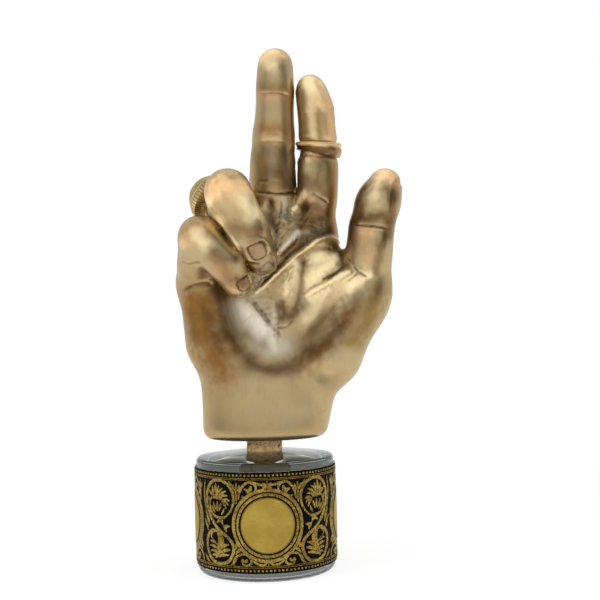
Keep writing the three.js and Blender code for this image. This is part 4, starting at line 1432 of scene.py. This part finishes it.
def drawStrokes(name, strokes, flip):
    curve = bpy.data.curves.new(name, "CURVE")
    curve.dimensions = "3D"
    curve.bevel_depth = mm
    curve.bevel_resolution = band["strokeSides"]
    curve.resolution_u = band["strokeSteps"]
    curve.use_fill_caps = True
    for width, shape, path in strokes.values():
        spline = curve.splines.new("BEZIER")
        spline.bezier_points.add(len(path) - 1)
        swell = band["leafScale"] if shape == "leaf" else 1
        shares = np.linspace(0, 1, len(path))
        for point, (along, up), share in zip(spline.bezier_points, path, shares):
            point.co = (flip * along * mm, up * mm, 0)
            point.handle_left_type = "AUTO"
            point.handle_right_type = "AUTO"
            point.radius = band["strokeScale"] * swell * width / 2 * float(strokeWidth(shape, share))
    selectOnly(newObject(name, curve))
    bpy.ops.object.convert(target="MESH")
    return bpy.context.object


def bend(thing, turn, radius, height):
    # places round the bottle, turned from the front
    movePoints(thing, np.stack([radius * np.sin(turn), -radius * np.cos(turn), height], axis=1))
    return thing


def wrapOnBand(thing, angle, ground, lift=0):
    # flat drawing onto the band, its middle at an angle from the front
    points = pointsOf(thing)
    rise = band["relief"] * np.tanh(points[:, 2] / band["relief"])
    return bend(thing, points[:, 0] / ground + math.radians(angle), ground + rise, points[:, 1] + lift)


def bandGroundRadius():
    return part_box("ornament_band")[1].x / mm - band["relief"]


def overGround(place, span):
    # 0 to 1 over a span of heights over the band's ground
    low, high = (bandGroundRadius() * mm + height * mm for height in span)
    return place.fromAxis().clamped(low, high)


def blackGround():
    material, wire, place = newMaterial("blackGround")
    dots = wire.node("ShaderNodeTexVoronoi", {"Vector": place, "Scale": 1300.0})
    cloud = place.noise(scale=300.0, detail=3.0)
    rubbed = (1 - dots.clamped(0.15, 0.4)) * cloud.clamped(0.45, 0.65)
    colour = rubbed.mix(*tones(band["ground"]))
    colour = overGround(place, band["bareDepth"]).mix(tone(*band["bare"]), colour)
    wire.feed(Base_Color=colour, Roughness=0.5 + 0.2 * cloud, Metallic=0.4 * rubbed,
              Normal=rubbed.bump(strength=0.4, distance=0.0002))
    wire.feed(Specular_IOR_Level=0.06)
    return material


def bandGold():
    material, wire, place = newMaterial("bandGold")
    cloud = place.noise(scale=170.0, detail=4.0)
    grain = place.noise(scale=2600.0, detail=2.0)
    veins = place.noise(scale=620.0, detail=2.0)
    dark, plain, pale = tones(band["gold"])
    outline = tone(*band["outline"])
    colour = cloud.clamped(0.3, 0.7).mix(dark, plain)
    colour = (grain.clamped(0.55, 0.8) * 0.5).mix(colour, pale)
    colour = overGround(place, band["goldFoot"]).mix(outline, colour)
    share, strength = band["cuts"]
    cut = 1 - wire.math("ABSOLUTE", veins - 0.5).clamped(0.02 * share, 0.16 * share)
    colour = (strength * cut).mix(colour, outline)
    wire.feed(Base_Color=colour, Roughness=0.36 + 0.16 * grain, Metallic=0.85,
              Normal=grain.bump(strength=0.35, distance=0.0001))
    return material


def makeBand():
    low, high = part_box("ornament_band")
    ground, bottom, top = bandGroundRadius(), low.z / mm, high.z / mm
    inner = ground - band["thickness"]
    gap = math.degrees(band["seam"] / ground)
    wall = spinProfile("bandWall", [(inner, bottom), (ground, bottom), (ground, top), (inner, top)],
                       band["sides"], closed=True, sweep=360 - gap)
    wall.rotation_euler.z = math.radians(band["turn"] + band["seamAngle"] + gap / 2)
    finishPiece(wall, "bandWall", blackGround(), "bottle", "black_gold_band", "ornament_band")

    half = band["lineWidth"] / 2
    lines = []
    for inset in band["borderLines"]:
        for height in (bottom + inset, top - inset):
            profile = [(ground + rise, height + half * side) for rise, side in band["lineSection"]]
            lines.append(spinProfile("bandLine", profile, band["sides"], closed=True))
    scrolls, frames, beads = [], [], []
    for quarter in range(4):
        angle = band["turn"] + 90 * quarter
        flip = 1 if quarter % 2 == 0 else -1
        scrolls.append(wrapOnBand(drawStrokes("corner", cornerScroll, flip), angle - 45, ground))
        for side in (1, -1):
            scrolls.append(wrapOnBand(drawStrokes("roundel", roundelScroll, side), angle, ground))
        frames += makeFrames(angle, ground)
    segments, rows = band["beadSides"]
    bead = addShape(bpy.ops.mesh.primitive_uv_sphere_add, segments=segments, ring_count=rows,
                    radius=band["beadRadius"] * mm)
    for height in (bottom + band["beadInset"], top - band["beadInset"]):
        for i in range(band["beads"]):
            angle = band["turn"] + 360 * (i + 0.5) / band["beads"]
            beads.append(wrapOnBand(newObject("bead", bead.data.copy()), angle, ground, height))
    bpy.data.objects.remove(bead)
    gold = bandGold()
    for name, things in (("bandLines", lines), ("bandScrolls", scrolls), ("bandFrames", frames),
                         ("bandBeads", beads)):
        finishPiece(joinAll(things), name, gold, "bottle", "black_gold_band")


def makeFrames(angle, ground):
    centre = sum(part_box("medallion_front"), Vector()) / 2 / mm
    around, section = band["frameSides"]
    for radius, width in band["frames"]:
        ring = addShape(bpy.ops.mesh.primitive_torus_add, major_radius=radius * mm, minor_radius=width * mm,
                        major_segments=around, minor_segments=section)
        yield wrapOnBand(ring, angle, ground, centre.z)


# Medallions: bare plates in the frames, slightly crowned, with a rounded edge
medallion = {
    "sides": 96,
    "seat": 0.05,  # over the ground of the band
    "face": 0.5,
    "edge": 0.3,
    "rings": 7,
    "crown": 0.1,
    "brush": (126, 105, 38),
    "plain": (163, 137, 54),
    "pale": (180, 155, 72),
}


def mattGold():
    material, wire, place = newMaterial("mattGold")
    cloud = place.noise(scale=110.0, detail=5.0)
    grain = place.noise(scale=3200.0, detail=2.0)
    brush = place.stretched(300, 300, 5000).noise(scale=1.0, detail=2.0)
    colour = cloud.clamped(0.3, 0.7).mix(tone(*medallion["plain"]), tone(*medallion["pale"]))
    colour = (brush.clamped(0.5, 0.75) * 0.45).mix(colour, tone(*medallion["brush"]))
    # the plate darkens to the outline tone round its edge: a painted shadow
    colour = (0.8 * wire.stored("rim").clamped(0.92, 1.0)).mix(colour, tone(*band["outline"]))
    wire.feed(Base_Color=colour, Roughness=0.44 + 0.16 * grain, Metallic=0.8,
              Normal=(grain + brush).bump(strength=0.3, distance=0.0001))
    return material


def makeMedallions():
    material = mattGold()
    inner = bandGroundRadius() + medallion["seat"]
    outer = bandGroundRadius() + medallion["face"]
    edge, face = medallion["edge"], outer - inner
    for quarter, side in enumerate(("front", "right", "rear", "left")):
        low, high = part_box("medallion_" + side)
        radius, height = (high.z - low.z) / 2 / mm, (high.z + low.z) / 2 / mm
        profile = [(0, 0), (radius, 0), *roundCorner(radius - edge, face - edge, edge, 0, 90, 4)]
        profile += [((radius - edge) * share, face + medallion["crown"] * (1 - share ** 2))
                    for share in np.linspace(1, 0, medallion["rings"])[1:]]
        plate = spinProfile("medallion", profile, medallion["sides"])
        points = pointsOf(plate)
        reach, _ = polar(points)
        storeValues(plate, "rim", reach / radius)
        turn = points[:, 0] / outer + math.radians(band["turn"] + 90 * quarter)
        bend(plate, turn, inner + points[:, 2], points[:, 1] + height)
        finishPiece(plate, "medallion" + side.capitalize(), material, "bottle", "medallion_gold",
                    "medallion_" + side)


# Rings on the fingers, in a frame with Z along the bone and X to the head
def ringPlace(finger, share, turn):
    start, end = [Vector(joint[:3]) for joint in flesh["bones"][finger][:2]]
    axis = (end - start).normalized()
    outer = Vector((-1, 0, 0))
    back = outer.cross(axis).normalized()
    face = back * math.cos(math.radians(turn)) + outer * math.sin(math.radians(turn))
    third = axis.cross(face).normalized()
    face = third.cross(axis)
    place = Matrix((face, third, axis)).transposed().to_4x4()
    lift = Vector((0, 0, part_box("hand_casting")[0].z))
    place.translation = start.lerp(end, share) * mm + lift
    return place


signet = {
    "share": 0.62,  # of the ring finger's first bone
    "turn": 49,  # degrees from the finger's back
    "inner": 10.4,
    "thickness": 2.0,
    "width": 6.0,
    "shankCrown": 0.8,
    "shankEdge": 0.4,
    "shankRows": 13,
    "shankSides": 96,
    "bezelRadius": 12.2,
    "bezelFoot": 7.0,
    "bezelHeight": 4.6,
    "bezelEdge": 2.4,
    "bezelFlare": 1.6,
    "bezelRows": (0.1, 1, 8),
    "bezelRound": (0.4, 0.5),
    "seatGap": 0.3,
    "ribs": 44,
    "ribDepth": 0.22,
    "ribArea": (0.1, 0.2),  # outside the seat, and under the top
    "cutArea": (2, 1),  # under the shank's inside, and outside the foot
    "plainCut": 0.15,
    "sides": 176,
    "paleGold": ((128, 100, 52), (206, 178, 118), (232, 210, 158)),
}
# Its seal; places on the dome go from 0 at its top to 1 at its edge
seal = {
    "radius": 11.0,
    "rise": 7.8,
    "depth": 1.6,
    "rows": 60,
    "petals": 8,
    "petalEdge": 0.42,
    "lace": (20, 26),
    "laceEdge": 0.86,
    "beads": 60,
    "beadRow": (0.93, 0.05),
    "ridges": (0.42, 0.87),
    "ridgeWidth": 0.02,
    "ridgeRise": 1.4,
    "carvedTo": 0.99,
    "engraving": 0.28,
}


def engravedGold():
    material, wire, place = newMaterial("engravedGold")
    cloud = place.noise(scale=220.0, detail=4.0)
    dark, plain, pale = tones(signet["paleGold"])
    colour = cloud.clamped(0.35, 0.65).mix(plain, pale)
    colour = (0.7 * wire.stored("cut").clamped(0.25, 0.85)).mix(colour, dark)
    wire.feed(Base_Color=colour, Roughness=0.26 + 0.2 * cloud, Metallic=0.9,
              Normal=cloud.bump(strength=0.3, distance=0.0001))
    return material


def ribbing(angle):
    return 0.5 - 0.5 * np.cos(signet["ribs"] * angle)


def makeShank():
    half, inner = signet["width"] / 2, signet["inner"]
    outer, crown = inner + signet["thickness"], signet["shankCrown"]
    profile = [(inner, -half + signet["shankEdge"]), (inner, half - signet["shankEdge"])]
    for share in np.linspace(1, -1, signet["shankRows"]):
        lean = math.sqrt(max(1 - abs(share) ** 3, 0))
        profile.append((outer - crown + crown * lean, share * half))
    return spinProfile("shank", profile, signet["shankSides"], closed=True)


def makeBezel(top):
    inner, foot, wide = signet["inner"], signet["bezelFoot"], signet["bezelRadius"]
    seat = seal["radius"] + signet["seatGap"]
    floor = top - seal["depth"] - signet["seatGap"]
    lower = top - signet["bezelEdge"]
    low = math.sqrt(inner ** 2 - foot ** 2)
    inset, drop = signet["bezelRound"]
    profile = [(0, low), (foot, low), (foot, inner)]
    profile += [(foot + (wide - foot) * share, inner + (lower - inner) * share ** signet["bezelFlare"])
                for share in np.linspace(*signet["bezelRows"])]
    profile += [(wide, lower + inset), (wide, top - drop), (wide - inset, top)]
    profile += [(seat, top), (seat, floor), (0, floor)]
    cup = spinProfile("cup", profile, signet["sides"])
    points = pointsOf(cup)
    reach, angle = polar(points)
    outside, under = signet["ribArea"]
    groove = np.where((reach > seat + outside) & (points[:, 2] < top - under), ribbing(angle), 0)
    points[:, :2] *= (1 - signet["ribDepth"] * groove / np.maximum(reach, 1))[:, None]
    movePoints(cup, points)
    return cup


def makeSeal(top):
    radius, rise = seal["radius"], seal["rise"]
    crown = (radius ** 2 + rise ** 2) / (2 * rise)
    spread = math.degrees(math.asin(radius / crown))
    dome = roundCorner(0, top + rise - crown, crown, 90 - spread, 90, seal["rows"])
    floor = top - seal["depth"]
    face = spinProfile("seal", [(0, floor), (radius, floor), *dome[:-1], (0, top + rise)], signet["sides"])
    points = pointsOf(face)
    reach, angle = polar(points)
    lean = np.degrees(np.arctan2(reach, points[:, 2] - (top + rise - crown))) / spread
    turns, rows = seal["lace"]
    lace = np.sin(turns * angle + rows * lean) * np.sin(turns * angle - rows * lean)
    petals = np.cos(seal["petals"] * angle) * np.sin(math.pi * np.clip(lean / seal["petalEdge"], 0, 1))
    place, width = seal["beadRow"]
    beads = np.cos(seal["beads"] * angle) * np.cos(math.pi * np.clip((lean - place) / width, -1, 1) / 2)
    pattern = np.where(lean < seal["petalEdge"], petals, np.where(lean < seal["laceEdge"], lace, beads))
    ridges = sum(bell(lean - place, seal["ridgeWidth"]) for place in seal["ridges"])
    pattern = np.clip(pattern + seal["ridgeRise"] * ridges, -1, 1)
    pattern = np.where(points[:, 2] > top - 0.05, pattern, 0)
    storeValues(face, "cut", 0.5 - 0.5 * pattern)
    height = seal["engraving"] * pattern * (lean < seal["carvedTo"])
    movePoints(face, points + normalsOf(face) * height[:, None])
    return face


def makeSignet():
    place = ringPlace("ring", signet["share"], signet["turn"])
    facing = place @ Matrix.Rotation(math.pi / 2, 4, "Y")
    material = engravedGold()
    top = signet["inner"] + signet["bezelHeight"]
    shank, cup = makeShank(), makeBezel(top)
    cup.matrix_world = facing
    shank.matrix_world = place
    for thing in (cup, shank):
        applyPlace(thing)
    applyModifier(shank, "BOOLEAN", operation="UNION", object=cup, solver="EXACT")
    bpy.data.objects.remove(cup)
    centre = np.array(place.translation) / mm
    local = (np.array(place.inverted().to_3x3()) @ (pointsOf(shank) - centre).T).T
    around = np.arctan2(local[:, 1], -local[:, 2])
    reach = np.hypot(local[:, 1], local[:, 2])
    under, outside = signet["cutArea"]
    ribbed = (local[:, 0] > signet["inner"] - under) & (reach > signet["bezelFoot"] + outside)
    storeValues(shank, "cut", np.where(ribbed, ribbing(around), signet["plainCut"]))
    finishPiece(shank, "signetRing", material, "hand", "signet_gold", "signet_ring")

    face = makeSeal(top)
    face.matrix_world = facing
    finishPiece(face, "signetSeal", material, "hand", "signet_gold", "signet_seal")


# Ring on the index finger: a bead along the upper edge over a hollow band, wider and thicker on the right
indexHoop = {
    "inner": 9.4,
    "thickness": 2.2,
    "width": 7.6,
    "edges": (0.3, 0.6),  # drawn in at the lower and the upper edge of its inside
    "bead": 1.15,
    "beadRound": (120, -50, 14),  # degrees from and to, and steps
    "hollow": 0.5,
    "hollowInset": 0.35,
    "hollowGap": 0.1,
    "hollowRun": 4,
    "hollowRows": (0.12, 0.95, 9),
    "hollowPower": 0.7,
    "foot": ((0.5, 0.5), (0.9, 0)),  # inset and height of the two lowest corners
    "sides": 128,
    "beadEnd": 0.8,
    # pale tone along the bead, a painted highlight
    "beadTone": (226, 194, 142),
    # from 0 on the left to 1 on the right: dark side (painted shade), light side (painted highlight), filled
    # side, and the swelling
    "dark": (0.35, 0.1),
    "light": (0.75, 1),
    "lightShare": 0.6,
    "filled": (0.5, 0.95),
    "fillRun": 4.2,
    "swollen": (0.6, 1),
    "swell": 0.7,
    "rise": 0.65,
    "outside": 0.2,  # from the inside, where the outer side begins
}


def makeIndexRing():
    hoop = indexHoop
    inner, outer = hoop["inner"], hoop["inner"] + hoop["thickness"]
    half, bead = hoop["width"] / 2, hoop["bead"]
    lower, upper = hoop["edges"]
    profile = [(inner, -half + lower), (inner, half - upper)]
    profile += roundCorner(outer - bead, half - bead, bead, *hoop["beadRound"])
    for share in np.linspace(*hoop["hollowRows"]):
        inset = hoop["hollow"] * math.sin(math.pi * share) ** hoop["hollowPower"]
        profile.append((outer - inset - hoop["hollowInset"],
                        half - 2 * bead - hoop["hollowGap"] - share * hoop["hollowRun"]))
    profile += [(outer - inset, -half + height) for inset, height in hoop["foot"]]
    thing = spinProfile("hoop", profile, hoop["sides"], closed=True)
    points = pointsOf(thing)
    reach, _ = polar(points)
    right = 0.5 - 0.5 * points[:, 1] / reach
    under = np.clip(half - 2 * bead - points[:, 2], 0, None)
    beaded = 1 - smoothStep(0, hoop["beadEnd"], under)
    # painted shade darkens the left side, painted highlight lightens the right side and the bead
    colours = (patinaShadeAndHighlightTones["brown"], patinaShadeAndHighlightTones["umber"], hoop["beadTone"])
    brown, umber, pale = (np.array(colour[:3]) for colour in tones(colours))
    low = brown + (umber - brown) * smoothStep(*hoop["dark"], right)[:, None]
    low += (pale - low) * hoop["lightShare"] * smoothStep(*hoop["light"], right)[:, None]
    storeColours(thing, "paint", low + (pale - low) * beaded[:, None])
    outside = (reach > inner + hoop["outside"]) / reach
    arch = np.sin(math.pi * np.clip(under / hoop["fillRun"], 0, 1))
    fill = 2 * hoop["hollow"] * arch * smoothStep(*hoop["filled"], right)
    swell = hoop["swell"] * smoothStep(*hoop["swollen"], right)
    points[:, :2] *= (1 + fill * outside)[:, None]
    points[:, :2] *= (1 + swell * outside)[:, None]
    points[:, 2] += under * hoop["rise"] * (1 - right)
    movePoints(thing, points)
    thing.matrix_world = ringPlace("index", 1, 0)
    finishPiece(thing, "indexRing", patinaAndPaintedLightGold, "hand", "gold_casting", "index_ring")


# Screw and insert stay as they are in the frame; only their metal is made here: tone and thread's pitch
turned = {
    "hanger_screw": ((176, 174, 170), 1.4),
    "wrist_insert": ((196, 160, 78), 1.0),
}


def turnedMetal(name, colour, pitch):
    material, wire, place = newMaterial(name)
    thread = wire.math("SINE", place.axis(2) * (2 * math.pi / (pitch * mm))).clamped(-1.0, 1.0)
    cloud = place.noise(scale=400.0, detail=3.0)
    dark = tone(*[value * 0.45 for value in colour])
    shade = (0.35 * (1 - thread) + 0.25 * cloud).mix(tone(*colour), dark)
    wire.feed(Base_Color=shade, Roughness=0.3 + 0.2 * cloud, Metallic=1.0,
              Normal=thread.bump(strength=0.8, distance=0.0003))
    return material


patinaAndPaintedLightGold = goldCasting()
makeHand()
makeBottle()
makeCork()
makeBand()
makeMedallions()
makeSignet()
makeIndexRing()
for name, (colour, pitch) in turned.items():
    nodes[name].data.materials.clear()
    nodes[name].data.materials.append(turnedMetal(name + "Metal", colour, pitch))
print("all pieces made")
